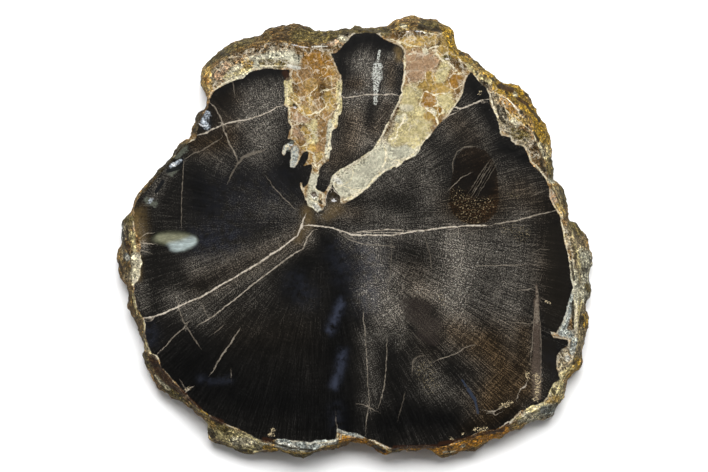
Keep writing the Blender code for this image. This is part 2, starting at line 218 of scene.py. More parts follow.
# Cream lines between the crystals of the wedges and along the rim: width in pixels, strength, and the line
CRYSTAL_SEAMS = [
    (1.8, 0.65, 387, 40, 392, 39, 398, 42, 405, 44, 410, 45, 416, 46, 421, 48),
    (1.6, 0.8, 421, 48, 425, 52, 428, 50, 430, 48, 435, 47, 440, 45, 443, 46),
    (1.5, 0.75, 430, 55, 436, 53, 438, 56, 442, 61, 447, 62, 451, 64, 454, 68, 458, 72, 464, 72),
    (1.3, 0.7, 405, 56, 410, 54, 414, 53, 416, 54), (1.4, 0.6, 409, 64, 411, 62, 414, 60),
    (2.0, 0.8, 425, 72, 426, 79), (1.4, 0.7, 455, 54, 460, 61, 466, 65),
    (1.2, 0.6, 430, 65, 433, 71, 436, 76, 437, 81, 433, 84),
    (1.2, 0.5, 405, 88, 412, 85, 418, 83, 420, 80),
    (1.3, 0.8, 449, 79, 450, 86, 453, 90, 456, 89, 460, 86, 464, 83),
    (1.2, 0.7, 450, 77, 454, 74, 460, 74, 465, 76),
    (1.3, 0.8, 424, 90, 427, 91, 430, 93, 434, 95, 440, 94, 446, 94, 453, 90),
    (1.3, 0.8, 434, 95, 438, 101, 438, 105, 432, 107.5, 423, 108, 420, 105, 421, 98, 424, 91),
    (1.2, 0.6, 446, 94, 452, 98, 458, 99, 462, 95),
    (1.4, 0.8, 438, 105, 442, 107, 444, 112, 438, 116, 436, 110, 437, 106),
    (1.8, 0.85, 423, 108, 428, 111, 433, 113, 437, 117, 438, 122, 438, 128),
    (4.2, 0.95, 432, 110, 435, 113), (6.5, 0.95, 404, 116, 405, 119),
    (1.8, 0.9, 403, 112, 404, 121, 399, 128, 397, 133, 396, 137, 390, 139, 385, 140),
    (1.8, 0.8, 383, 143, 386, 150, 387, 155, 384, 163, 380, 170),
    (1.4, 0.6, 387, 157, 392, 160, 398, 161, 405, 158),
    (1.3, 0.55, 397, 142, 406, 144, 412, 142, 418, 144),
    (1.4, 0.6, 352, 168, 353, 174, 350, 180, 345, 184, 341, 186),
    (1.6, 0.7, 336, 184, 341, 186, 347, 187, 352, 190, 360, 190, 365, 189),
    (1.4, 0.8, 317, 84, 318, 88, 314, 91, 311, 93, 309, 98, 309, 104),
    (1.6, 0.75, 318, 92, 322, 91, 326, 89, 330, 90, 336, 87),
    (1.5, 0.8, 299, 111, 303, 114, 308, 115, 312, 114, 316, 112, 318, 113, 321, 110, 325, 107, 327,
     103), (1.3, 0.7, 291, 99, 296, 103, 299, 107, 302, 110),
    (1.3, 0.7, 293, 93, 296, 96, 299, 98, 298, 102), (1.2, 0.6, 316, 112, 318, 117, 320, 121),
    (1.2, 0.6, 321, 76, 325, 74, 327, 70, 325, 67, 322, 69, 322, 72),
    (1.2, 0.6, 328, 66, 331, 69, 334, 66), (1.3, 0.6, 299, 124, 305, 124, 310, 124),
    (1.3, 0.6, 294, 140, 300, 146, 306, 145, 308, 143, 312, 141, 318, 140),
    (1.5, 0.8, 306, 151, 310, 152, 313, 154, 315, 158, 313, 162, 317, 167, 320, 165, 323, 162),
    (1.3, 0.7, 312, 166, 313, 171, 316, 174, 319, 171, 319, 167),
    (1.4, 0.7, 310, 190, 314, 189, 319, 191, 323, 194, 322, 198, 318, 202, 312, 200, 309, 196, 310,
     190), (1.6, 0.7, 306, 203, 312, 207, 318, 212), (1.2, 0.6, 290, 160, 294, 161, 297, 163),
    (1.2, 0.6, 320, 152, 324, 156, 325, 161),
    (1.8, 0.65, 341, 86, 340, 94, 339, 106, 335, 118, 332, 130, 329, 142, 327, 158),
    (1.5, 0.55, 288, 76, 287, 92, 288, 104, 290, 116, 291, 128, 291, 142),
    (1.6, 0.6, 285, 150, 287, 144, 290, 148),
    (2.6, 0.85, 388, 169, 401, 163, 413, 155, 420, 147, 432, 132),
    (1.8, 0.75, 404, 52, 405, 66, 404, 80, 401, 93, 395, 108, 387, 124, 380, 139),
    (2.4, 0.85, 342, 201, 354, 197, 366, 188, 380, 174, 388, 169),
    (2.0, 0.75, 384, 132, 376, 146, 366, 154, 352, 162, 340, 169, 332, 177),
    (1.4, 0.6, 466, 82, 462, 95, 455, 105, 446, 117), (2.0, 0.6, 302, 184, 301, 190, 305, 198),
    (1.8, 0.85, 213, 91, 220, 86, 228, 81, 233, 80, 240, 78),
    (1.6, 0.7, 255, 68, 262, 66, 275, 66, 286, 66), (1.1, 0.4, 331, 48, 336, 44, 342, 41),
    (1.4, 0.7, 419, 30, 425, 32, 431, 34, 438, 35, 442, 33),
    (1.5, 0.8, 470, 71, 476, 76, 481, 84, 487, 89, 490, 95),
    (2.0, 0.9, 490, 95, 492, 104, 495, 113, 498, 124, 500, 134, 503, 136),
    (1.3, 0.7, 499, 96, 503, 103, 506, 110, 512, 117, 520, 122, 527, 127),
    (1.6, 0.85, 503, 96, 509, 100, 515, 107, 519, 112),
    (1.4, 0.65, 528, 128, 533, 133, 536, 140, 539, 148),
    (1.3, 0.6, 525, 148, 530, 158, 537, 166, 542, 174, 548, 182),
    (1.1, 0.5, 553, 186, 558, 196, 562, 206, 566, 214), (1.2, 0.6, 550, 200, 555, 208, 560, 215),
    (1.5, 0.8, 561, 218, 564, 232, 567, 246, 569, 258, 571, 270, 573, 284),
    (1.3, 0.65, 572, 232, 575, 244, 578, 258, 581, 274),
    (1.2, 0.6, 575, 240, 578, 254, 581, 268, 580, 282), (2.2, 0.7, 575, 296, 576, 312, 575, 326),
    (1.5, 0.7, 583, 296, 582, 308), (1.3, 0.7, 579, 300, 579, 314, 577, 330, 574, 344),
    (1.4, 0.6, 576, 348, 580, 338, 582, 330), (1.6, 0.6, 562, 362, 561, 372, 565, 378),
    (1.5, 0.7, 551, 382, 548, 392, 545, 398), (1.4, 0.7, 560, 384, 563, 378, 572, 370, 579, 366),
    (1.8, 0.8, 244, 433, 250, 437, 256, 440, 260, 445), (1.4, 0.7, 253, 434, 258, 438, 265, 441),
    (1.3, 0.6, 318, 443, 328, 442, 336, 441), (1.3, 0.6, 337, 430, 338, 436, 337, 441),
    (1.5, 0.9, 368, 439, 374, 441, 380, 445, 386, 449, 391, 452),
    (1.6, 0.9, 132, 290, 134, 300, 136, 310, 138, 317),
    (2.0, 0.85, 141, 316, 144, 320, 145, 328, 143, 334), (1.8, 0.7, 143, 338, 147, 346, 151, 352),
    (3.0, 0.9, 150, 353, 156, 355, 159, 359), (1.3, 0.7, 160, 362, 163, 369, 170, 376, 176, 383),
    (1.2, 0.6, 178, 388, 185, 396, 192, 402), (1.3, 0.6, 192, 404, 200, 411, 207, 417),
]

# Soft tones of the dark wood: strength, reach in pixels, and the line each follows
HAZE = [
    (0.55, 14, 246, 97, 262, 92, 276, 92), (0.65, 19, 252, 118, 264, 130, 260, 142),
    (0.4, 12, 226, 118, 230, 140), (0.4, 14, 204, 150, 216, 160),
    (0.25, 14, 236, 205, 270, 208, 296, 214), (0.55, 11, 298, 232, 270, 246, 235, 260, 195, 268),
    (0.6, 8, 308, 240, 290, 250, 272, 261, 240, 281, 215, 294),
    (0.12, 12, 262, 288, 240, 306, 215, 316), (0.35, 9, 174, 298, 200, 298),
    (0.12, 24, 230, 335, 290, 335), (0.75, 15, 372, 250, 377, 275),
    (0.95, 13, 368, 292, 382, 300, 388, 312), (0.5, 11, 378, 310, 390, 326, 384, 335),
    (0.4, 14, 405, 272, 425, 278), (0.35, 14, 408, 310, 425, 328),
    (1.0, 20, 457, 243, 461, 262, 457, 285), (0.9, 8, 420, 287, 441, 293, 457, 307),
    (0.6, 9, 441, 302, 456, 320),
    (0.95, 6.5, 418, 290, 440, 296, 452, 306, 464, 318, 476, 332, 488, 348, 500, 370),
    (0.75, 12, 456, 318, 466, 338, 476, 354), (0.6, 9, 448, 328, 452, 342),
    (0.5, 13, 345, 236, 380, 232, 425, 236), (0.45, 28, 490, 245, 522, 265, 500, 300),
    (0.6, 15, 512, 320, 508, 350, 494, 385, 478, 405), (0.55, 7, 528, 340, 527, 380, 512, 398),
    (0.4, 18, 418, 160, 426, 180, 436, 208), (0.4, 16, 446, 128, 466, 118, 478, 130),
    (0.4, 12, 372, 190, 388, 180, 400, 172), (0.7, 9, 324, 214, 336, 207, 344, 210),
    (0.6, 6, 304, 228, 310, 238), (0.5, 8, 396, 276, 402, 292), (0.6, 5, 139, 226, 144, 248),
    (0.5, 7, 168, 174, 158, 187, 152, 198), (0.45, 7, 140, 286, 144, 306),
    (0.5, 12, 176, 302, 190, 312, 204, 318), (0.7, 13, 500, 388, 525, 390, 542, 378),
    (0.35, 10, 462, 206, 476, 214, 490, 206), (0.25, 12, 470, 158, 480, 160),
    (0.9, 13, 363, 64, 366, 75, 362, 92), (0.7, 8, 390, 58, 389, 78, 388, 95),
    (0.9, 14, 354, 106, 358, 125, 352, 145), (0.7, 9, 390, 105, 380, 122, 372, 138),
    (0.5, 9, 330, 140, 336, 158, 328, 172), (0.45, 18, 508, 185, 525, 195, 520, 210),
    (0.35, 15, 424, 368, 440, 390, 452, 396), (0.4, 9, 366, 335, 372, 370, 368, 408),
    (0.35, 9, 350, 214, 375, 212, 400, 218), (0.5, 6, 392, 296, 400, 312, 402, 330, 400, 345),
    (0.6, 8, 250, 110, 282, 105), (0.5, 5, 396, 52, 399, 62),
]
BLACK = [
    (0.8, 14, 198, 175, 200, 205), (0.6, 22, 220, 195, 235, 205),
    (0.8, 6, 222, 90, 248, 77, 262, 72, 284, 72), (0.5, 10, 222, 98, 228, 110),
    (0.75, 12, 285, 155, 293, 180, 283, 170),
    (0.85, 18, 330, 245, 340, 290, 338, 340, 342, 400, 345, 425), (0.8, 16, 305, 265, 292, 292),
    (0.9, 40, 195, 375, 240, 400, 290, 400, 320, 415), (0.6, 30, 180, 360, 260, 350, 310, 345),
    (0.9, 18, 385, 425, 415, 418, 450, 420), (0.6, 14, 390, 345, 394, 380, 405, 405),
    (0.8, 8, 474, 84, 484, 105, 494, 128), (0.85, 8, 500, 145, 514, 152, 524, 160),
    (0.55, 10, 560, 240, 562, 270, 558, 300), (0.7, 9, 548, 345, 550, 380),
    (0.85, 8, 346, 50, 354, 42, 366, 38, 378, 40, 392, 48), (0.6, 6, 341, 60, 344, 70),
    (0.7, 5, 371, 104, 368, 124), (0.6, 8, 150, 325, 152, 340), (0.3, 8, 400, 245, 420, 252),
    (0.35, 10, 462, 165, 480, 165, 486, 184), (0.4, 10, 172, 180, 160, 200),
    (0.6, 2.5, 410, 327, 424, 338, 433, 348), (0.6, 5, 450, 368, 455, 376, 462, 385),
]
RUST = [
    (0.9, 15, 196, 142, 212, 142, 226, 138), (0.6, 12, 222, 100, 232, 96),
    (0.4, 16, 297, 240, 262, 258, 200, 285), (0.5, 12, 210, 112, 226, 120),
    (0.85, 16, 456, 205, 475, 212, 492, 205), (0.6, 12, 480, 165, 490, 190),
    (0.6, 18, 520, 190, 545, 205), (1.0, 24, 490, 345, 505, 372, 490, 405),
    (0.7, 16, 455, 332, 475, 345), (0.8, 12, 525, 330, 522, 385), (0.9, 14, 500, 390, 525, 390),
    (0.8, 9, 465, 430, 490, 420, 512, 408), (0.5, 20, 550, 240, 552, 300), (0.7, 8, 350, 84, 358, 84),
    (0.6, 8, 391, 66, 391, 84), (0.6, 16, 352, 120, 348, 148, 335, 160), (0.5, 10, 388, 108, 376, 130),
    (0.4, 24, 240, 335, 300, 335), (0.5, 10, 340, 210, 356, 212), (0.5, 16, 455, 120, 470, 140),
    (0.35, 18, 415, 270, 425, 320, 430, 350),
]
BLUE = [
    (0.95, 4.5, 341, 302, 337, 314, 330, 330), (0.9, 4.5, 343, 352, 340, 368, 334, 386),
    (0.4, 14, 368, 250, 373, 275, 368, 300), (0.3, 4, 200, 379, 215, 381, 230, 379),
    (0.2, 12, 338, 250, 345, 275), (0.2, 7, 336, 408, 337, 425), (0.25, 8, 150, 328, 151, 340),
    (0.25, 16, 200, 242, 228, 238), (0.12, 30, 230, 200, 270, 195), (0.15, 7, 549, 350, 552, 375),
    (0.2, 12, 296, 282, 306, 296),
]
AMBER = [
    (0.75, 4, 135, 214, 137, 226, 139, 240), (0.3, 6, 141, 210, 144, 238), (0.7, 4, 137, 258, 137, 278),
    (0.5, 6, 307, 211, 309, 222), (0.8, 3.5, 398, 50, 399, 58), (0.4, 6, 326, 216, 338, 208),
    (0.35, 5, 304, 229, 298, 239), (0.15, 5, 334, 195, 330, 212),
]

# Crisp stains of the wedges and the rind, and painted glints: reach in pixels, and the line each follows.
# Later names lie on top.
STAINS = {
    "ash": [
        (6, 125, 222, 126, 250, 128, 275), (6, 214, 80, 220, 70, 228, 60),
        (8, 497, 96, 500, 110, 505, 122), (6, 510, 130, 520, 140, 530, 146),
        (9, 573, 228, 580, 250, 583, 290), (8, 578, 300, 580, 330, 577, 352), (8, 560, 352, 566, 368),
        (6, 548, 410, 556, 404), (6.5, 374, 154, 384, 144, 390, 128, 396, 108), (4, 343, 181, 350, 178),
        (5, 556, 190, 560, 198), (3, 530, 146, 536, 156), (4, 146, 345, 150, 352),
    ],
    "grey": [
        (8.5, 264, 60, 285, 58, 296, 58), (7, 252, 61, 264, 62), (5, 232, 77, 248, 73),
        (17, 348, 183, 367, 172, 387, 160), (8, 392, 154, 404, 152, 418, 147),
        (3.2, 331, 122, 329, 142, 328, 156), (6, 400, 118, 407, 123), (6, 315, 178, 312, 205),
        (7, 585, 256, 588, 272, 586, 296), (6, 573, 275, 575, 300), (8, 552, 408, 542, 413, 530, 417),
        (9, 240, 442, 252, 444, 262, 441), (4, 270, 46, 276, 44), (4, 550, 170, 552, 180),
    ],
    "pale": [
        (5, 228, 76, 236, 72, 247, 67), (9, 220, 434, 236, 441, 252, 444), (4, 208, 422, 212, 430),
        (9, 408, 95, 410, 104), (5, 414, 84, 420, 96), (6, 400, 110, 420, 111), (7, 396, 140, 406, 136),
        (8, 444, 98, 447, 105), (12, 408, 128, 420, 128), (6, 412, 142, 424, 134),
        (5, 442, 44, 445, 56), (6, 445, 66, 440, 78), (5, 288, 82, 289, 100), (3.5, 314, 122, 314, 130),
        (3.5, 340, 84, 340, 108, 335, 122), (6, 306, 128, 312, 138), (5, 470, 64, 484, 75, 491, 80),
        (7, 550, 392, 558, 384, 558, 398), (4, 563, 376, 578, 366), (4, 508, 426, 520, 420),
        (5, 530, 410, 542, 406), (3, 541, 144, 547, 158), (4.5, 545, 143, 548, 158),
        (4, 131, 235, 133, 250),
    ],
    "brown": [
        (9, 226, 50, 240, 47, 258, 44), (5, 236, 54, 250, 51, 262, 49), (5, 300, 50, 316, 49, 330, 47),
        (14, 262, 36, 285, 34, 305, 36), (9, 312, 38, 332, 38), (3, 295, 84, 296, 90),
        (4, 322, 86, 325, 100), (3.5, 302, 126, 308, 132), (6, 330, 34, 350, 31), (4, 330, 42, 338, 46),
        (6, 388, 31, 405, 34, 424, 34), (5, 408, 24, 418, 28), (4, 454, 62, 463, 67),
        (8, 500, 86, 512, 92, 526, 100), (3, 453, 110, 456, 111), (4.5, 383, 130, 390, 118, 396, 107),
        (6, 533, 146, 540, 160, 546, 172), (5, 552, 194, 557, 204, 562, 213), (3.5, 561, 204, 566, 218),
        (4, 560, 341, 566, 345), (4.5, 128, 243, 129, 252), (4.5, 126, 264, 127, 269),
        (4, 128, 290, 133, 306, 138, 322, 142, 340), (6, 148, 360, 156, 372, 168, 384, 184, 396),
        (5, 190, 401, 198, 408, 206, 415), (4, 214, 420, 226, 425), (3, 262, 440, 270, 441),
        (3, 266, 449, 284, 450), (3, 320, 446, 340, 443), (4, 395, 449, 430, 447),
        (5, 438, 42, 434, 43), (4, 404, 57, 411, 58), (5, 504, 428, 516, 424),
    ],
    "olive": [
        (4, 208, 62, 220, 52, 236, 44, 252, 38), (4, 262, 62, 276, 64, 286, 64),
        (4, 308, 31, 330, 32, 348, 30), (5, 352, 29, 370, 30, 386, 31), (5, 424, 22, 436, 25),
        (3, 414, 43, 415, 44), (2.5, 403, 43, 404, 44), (3, 446, 57, 450, 58),
        (3, 474, 60, 486, 70, 494, 78), (6, 186, 148, 172, 160, 160, 172), (5, 124, 218, 130, 220),
        (5, 514, 132, 526, 136), (4, 551, 160, 552, 176), (3.5, 562, 188, 566, 202),
        (4, 572, 224, 580, 232), (3.5, 588, 286, 590, 290), (4, 576, 362, 580, 368),
        (4, 216, 426, 224, 430), (2.2, 214, 446, 230, 450, 250, 453), (6, 296, 34, 318, 37, 340, 36),
        (3.5, 292, 454, 304, 456, 316, 452), (3.5, 398, 450, 426, 448), (3, 434, 453, 450, 454),
        (4, 166, 388, 182, 400), (3.5, 143, 356, 147, 366), (2, 190, 405, 206, 416),
    ],
    "pink": [
        (11, 414, 62, 428, 62, 416, 74), (4, 298, 117, 304, 120), (4, 297, 132, 302, 136),
        (3, 542, 146, 545, 152), (4, 218, 76, 226, 66), (2.6, 391, 444, 393, 445),
        (2, 178, 388, 186, 398, 196, 404), (3, 330, 44, 336, 42), (4, 552, 196, 555, 203),
    ],
    "honey": [
        (5, 430, 89, 450, 87), (4.5, 421, 85, 428, 83), (3, 426, 88, 440, 92), (4, 429, 75, 432, 79),
        (4, 428, 116, 436, 114), (3.5, 305, 148, 312, 148), (4, 318, 158, 320, 156),
        (4.5, 303, 109, 308, 112), (3, 310, 98, 311, 103), (3, 330, 72, 331, 78),
        (4, 292, 97, 296, 100), (5, 328, 96, 330, 106), (4, 304, 130, 309, 136), (6, 205, 72, 206, 86),
        (4, 240, 66, 250, 63), (4, 398, 25, 406, 25), (5, 406, 42, 434, 40),
        (5, 440, 52, 446, 46, 444, 38), (4, 512, 116, 526, 122), (4, 476, 66, 488, 76),
        (4, 557, 206, 563, 214), (3.5, 209, 420, 213, 427), (4, 548, 400, 557, 399),
        (3, 515, 428, 522, 424), (2.5, 193, 404, 200, 410), (3, 552, 140, 552, 146),
    ],
    "gold": [
        (6, 446, 28, 452, 42, 457, 50), (5, 453, 52, 459, 54), (3.5, 463, 58, 470, 61),
        (3.5, 484, 71, 490, 74), (5, 496, 86, 500, 91), (5, 508, 87, 520, 92),
        (6, 512, 94, 524, 104, 532, 112), (6, 533, 112, 540, 124, 546, 136), (5, 538, 130, 544, 140),
        (3.5, 586, 317, 586, 325), (3, 578, 360, 579, 367), (4, 577, 368, 568, 376),
        (7, 438, 450, 452, 447, 468, 443), (6.5, 470, 442, 485, 437, 502, 433),
        (3.5, 342, 440, 350, 440, 364, 441), (3, 374, 447, 388, 453),
        (2.6, 264, 448, 284, 450, 300, 453, 316, 450), (2.6, 320, 447, 338, 444),
        (2, 200, 411, 206, 415),
    ],
    "orange": [
        (5.5, 455, 78, 454, 84), (6.5, 428, 97, 429, 103), (6, 306, 60, 318, 57, 328, 62),
        (5, 316, 70, 328, 74), (3, 440, 110, 441, 111), (5.5, 504, 101, 513, 108),
        (3, 452, 446, 458, 444), (3, 205, 78, 207, 82),
    ],
    "ochre": [
        (6, 440, 449, 456, 448, 468, 444), (5.5, 470, 442, 486, 437, 504, 431),
        (3.5, 342, 440, 352, 439, 364, 441), (3, 372, 447, 386, 453), (2.6, 402, 449, 430, 448),
    ],
    "cream": [
        (5.5, 136, 257, 138, 266), (5, 135, 272, 136, 281), (3.2, 341, 38, 346, 40),
        (4, 403, 108, 410, 108), (3.2, 404, 116, 405, 119), (2.4, 432, 110, 435, 113),
        (2.5, 425, 50, 426, 52), (2.6, 513, 121, 517, 125), (2.6, 540, 144, 545, 156),
        (2.5, 571, 262, 573, 275), (5, 234, 442, 244, 442, 254, 440), (3, 153, 354, 157, 357),
        (3.5, 228, 82, 233, 79), (3, 232, 70, 240, 66), (2.5, 402, 25, 405, 26),
        (1.8, 155, 377, 168, 389), (1, 444, 453, 456, 452), (2, 515, 93, 516, 95),
        (1.6, 462, 447, 464, 446), (2.2, 520, 422, 530, 418), (2.4, 528, 414, 540, 418),
    ],
    "chalcedony": [
        (4.5, 569, 296, 567, 316, 562, 332, 570, 334), (3, 338, 430, 350, 433, 362, 436),
        (6, 280, 443, 300, 446, 314, 446), (4, 318, 443, 334, 441), (4.5, 295, 150, 292, 165),
        (3, 287, 145, 285, 152), (3.2, 126, 256, 127, 258), (4.5, 544, 410, 552, 411),
        (3, 572, 352, 575, 340), (3, 120, 226, 121, 238),
    ],
    "white": [
        (2.4, 567.5, 357, 567.5, 359), (2, 289, 66, 299, 68), (0.8, 312, 47, 328, 46),
        (2, 279, 443, 280, 444), (3, 315, 206, 319, 210), (3, 336, 178, 340, 184),
        (1.8, 126.5, 257, 127, 258), (1.2, 284, 443, 300, 449), (1.1, 318, 444, 336, 442),
    ],
    "dark": [
        (6, 197, 113, 200, 122, 198, 130), (3, 184, 146, 176, 153), (4, 170, 160, 160, 172, 150, 184),
        (3, 146, 190, 140, 200, 137, 208), (2.5, 461, 53, 463, 54), (2.8, 582, 318, 582, 323),
        (1.5, 573, 302, 573, 328), (1.5, 571, 262, 574, 280), (2.6, 584, 270, 587, 271),
        (3, 210, 431, 213, 437), (2.8, 482, 82, 487, 86), (1.8, 498, 106, 501, 118, 505, 124),
        (1.5, 503, 108, 506, 118), (2, 521, 112, 522, 113), (1.5, 528, 106, 534, 112, 540, 120),
        (1.5, 534, 132, 538, 140), (2, 553, 390, 555, 394), (2, 557, 404, 558, 408),
        (3, 420, 27, 434, 29, 440, 30), (3, 344, 33, 347, 34), (1.6, 319.5, 201, 321, 203),
        (1.6, 327, 196, 328, 197), (1.8, 294, 105, 296, 107), (2.5, 290, 141, 292, 143),
        (2.2, 222, 54, 228, 55), (1.6, 239, 62, 240, 63), (1.6, 375, 446, 384, 452),
        (1.3, 270, 442, 290, 448, 312, 450), (0.9, 298.5, 55, 299, 62), (0.8, 303, 52, 304, 58),
        (1.2, 122, 232, 124, 244), (1.2, 125, 246, 130, 256), (1.5, 118, 262, 122, 274),
        (1.4, 126, 226, 128, 240), (1.8, 541, 161, 544, 171),
    ],
    "rot": [
        (3.6, 285, 73, 288, 78), (3, 313.5, 194, 314, 195), (4.5, 152, 359, 157, 367),
        (4.5, 158, 370, 168, 381), (3.2, 172, 385, 184, 394), (2, 188, 398, 200, 409),
        (2.4, 394, 447.5, 415, 447, 438, 446.5), (2.2, 440, 443.5, 462, 440, 476, 435.5),
        (2.2, 476, 435, 490, 432, 503, 430), (2.6, 264, 439, 271, 441), (2.4, 374, 447, 384, 452),
        (2.6, 211, 418, 222, 422), (2, 503, 428, 508, 425), (3, 500, 86, 512, 90),
        (2, 518, 98, 528, 104), (2, 128, 246, 129, 250),
    ],
    "calm": [
        (8, 345, 184, 365, 170, 385, 156), (8, 400, 150, 412, 135),
        (6, 508, 89, 520, 96, 532, 110, 541, 125), (11, 420, 130, 432, 116), (9, 408, 94, 411, 104),
        (9, 412, 62, 426, 64), (6, 412, 74, 424, 74), (6, 455, 78, 454, 84), (7.5, 428, 97, 429, 103),
        (7, 446, 98, 440, 88), (7, 504, 101, 513, 108), (7, 280, 443, 300, 446, 314, 446),
        (6, 318, 443, 334, 441), (5, 338, 430, 350, 433, 362, 436), (6, 569, 296, 567, 316, 562, 332),
    ],
    "pepper": [
        (6, 340, 78, 340, 106, 335, 124), (5, 331, 134, 329, 158), (4.5, 287, 78, 287, 104, 291, 128),
        (7, 338, 182, 350, 172, 362, 163), (6, 398, 104, 390, 126, 378, 148), (8, 306, 190, 318, 206),
        (6, 286, 148, 290, 156), (7, 500, 98, 503, 122), (7, 262, 50, 285, 50, 300, 54),
        (7, 218, 62, 238, 58, 255, 54), (6, 482, 80, 488, 88),
    ],
    "milk": [(8, 172, 248, 182, 246, 192, 242)],
    "fade": [(14, 143, 240, 147, 243)],
    "glass": [
        (4.5, 184, 148, 178, 155), (3.5, 176, 168, 171, 173), (3.5, 147, 200, 154, 204),
        (4, 294, 141, 290, 148),
    ],
    "pocket": [(8, 201, 117, 205, 122), (2.5, 183, 160, 178, 168, 168, 171), (2, 163, 181, 156, 192)],
    # Painted highlights: white glints of light on the crystals inside the black pockets
    "painted_glint": [
        (3.4, 208, 114, 203, 120, 207, 127), (2.2, 180, 161, 171, 166), (1.6, 152, 199, 149, 203),
    ],
    "azure": [(1.2, 462, 380, 466, 386), (1.9, 468, 389, 475, 400), (1.4, 475, 400, 478, 413)],
    "lens": [
        (7, 405, 305, 418, 304, 426, 308), (9, 412, 314, 424, 322, 435, 326), (7, 422, 334, 434, 340),
    ],
    "soot": [(5.5, 459, 187, 468, 183), (8, 488, 173, 489, 184, 482, 194)],
    "gilt": [
        (9, 457, 197, 470, 208, 486, 205), (6, 461, 215, 476, 221), (4, 510, 195, 517, 195),
        (8, 507, 229, 524, 234), (9, 424, 369, 432, 385), (4, 440, 297, 444, 303),
    ],
    "streak": [
        (1.5, 536.5, 286, 537, 300), (3, 536.5, 300, 536.5, 325), (4.2, 536.5, 325, 537, 360),
        (5, 536.5, 360, 537, 396),
    ],
    "feather": [
        (1.5, 379.5, 51, 378, 60), (5.6, 377.5, 67, 377, 78), (3.2, 376.5, 80, 376, 90),
        (2.4, 375.5, 94, 375.5, 103),
    ],
    "crumbs": [
        (3, 536, 375, 538, 382), (2.6, 538, 387, 537, 394), (2, 534, 399, 537, 400),
        (1.8, 527, 373, 528, 380), (2, 500, 407, 506, 405, 511, 402), (1.8, 475, 430, 486, 429),
        (1.6, 272, 429, 274, 430), (1.8, 270, 434, 273, 435), (1.8, 187, 390, 190, 388),
        (1.5, 462, 435, 464, 434), (1.2, 546, 301, 549, 303), (1.4, 481, 91, 479, 94),
        (1.6, 450, 438, 454, 440),
    ],
    "dusk": [(13, 557, 236, 558, 262, 558, 296, 555, 320), (9, 548, 345, 551, 372, 547, 390)],
}

MINERAL_STAINS = (
    "ash", "grey", "pale", "brown", "olive", "pink", "honey", "gold", "orange", "ochre", "cream",
    "chalcedony", "white",
)
HOLES = ("rot", "dark")  # stains that lie over the cream lines too
LIGHTER = (1.8, 1.75, 1.55, 1.0)  # what a pale grain's colour is multiplied by
DARKER = (0.32, 0.27, 0.2, 1.0)  # the same for a dark gap's

# The pale agate eye near the left edge
AGATE = [
    147, 241, 151, 237, 157, 232.5, 168, 230.5, 179, 231, 190, 233, 196, 235.5, 199, 240, 196.5, 245, 191,
    249, 184, 251.5, 175, 252.5, 170, 250.5, 168, 246, 160, 245, 153, 243.5,
]

# The brown disc right of the middle, and its lower part
DISC = [
    450, 190, 449, 203, 453, 214, 461, 221, 474, 225, 487, 222, 496, 213, 499, 201, 498, 185, 497, 172, 493,
    160, 485, 150, 475, 147, 463, 149, 456, 157, 453, 170,
]
DISC_LOW = [
    450, 190, 449, 203, 453, 214, 461, 221, 474, 225, 487, 222, 496, 213, 498, 200, 487, 196, 474, 197, 463,
    189, 456, 187,
]

# Pits in the polished face: middle, radius in pixels, and depth in metres
PITS = [
    ((321.5, 213), 3.4, 0.0014), ((314, 194), 3.2, 0.0008), ((291, 142), 2.6, 0.0007),
    ((295, 106), 1.8, 0.0004), ((204, 120), 6.0, 0.0009), ((334, 198), 3.5, 0.0005),
    ((447, 57.5), 1.8, 0.0004), ((174, 162), 3.5, 0.0005),
]

# Stains of the wood, and its pockets' painted glints: how strong, how frayed, how speckled, and the speck
# noise's threshold
WOOD_STAINS = (
    ("dusk", 0.6, 0.4, 0.0, 0.5), ("lens", 0.5, 0.4, 0.0, 0.5), ("soot", 0.6, 0.4, 0.0, 0.5),
    ("azure", 0.8, 0.4, 0.2, 0.45), ("streak", 0.5, 0.8, 0.5, 0.42), ("gilt", 0.7, 1.5, 1.0, 0.57),
    ("crumbs", 1.0, 2.2, 1.0, 0.48), ("feather", 1.0, 0.4, 1.0, 0.44), ("glass", 0.8, 1.6, 0.5, 0.46),
    ("pocket", 0.95, 0.3, 0.0, 0.5), ("painted_glint", 0.9, 1.4, 0.8, 0.48), ("rot", 0.75, 0.5, 0.0, 0.5),
)

# The mesh
CURVE_STEPS = 6  # points between two outline points
PITH_REACHES = (6, 13, 28, 60)  # millimetres from the pith at which each layer of its noise is true to size
SHARP_ANGLE = math.radians(38)
STUDIO_LIGHT = 1.65  # how many times brighter than white a white surface shows, lying flat in the studio
FAR = 60.0  # pixels past which a distance isn't told apart
STAIN_FLOOR = -2.0  # a stain's lowest strength, away from it
VEIN_TAPER = 9.0  # pixels over which a vein thins out at its ends

# The share of the bake's picture that each part of the stone takes
FACE_UV = ((0.006, 0.214), 0.78)
BACK_UV = ((0.792, 0.786), 0.202)
STRIP_COUNT = 2
STRIP_HEIGHT = 0.094
STRIP_GAP = 0.008


def paired(values):
    """The points that a list of x and y values in turn stands for."""
    return np.reshape(values, (-1, 2)).astype(float)


def to_plan(pixels, size):
    """Pixels of the photograph as places on the slice, in metres from its middle."""
    return (paired(pixels) - PHOTO_MIDDLE) * (size, -size)


def to_pixels(plan):
    """Places on the polished face as pixels of the photograph."""
    return np.asarray(plan) / (FACE_PIXEL, -FACE_PIXEL) + PHOTO_MIDDLE


def rounded(points):
    """A closed Catmull-Rom curve through the points."""
    before = np.roll(points, 1, axis=0)
    after = np.roll(points, -1, axis=0)
    next_after = np.roll(points, -2, axis=0)
    curve = []
    for step in range(CURVE_STEPS):
        t = step / CURVE_STEPS
        linear = after - before
        square = 2 * before - 5 * points + 4 * after - next_after
        cube = 3 * points - before - 3 * after + next_after
        curve.append(0.5 * (2 * points + linear * t + square * t**2 + cube * t**3))
    return np.stack(curve, axis=1).reshape(-1, 2)


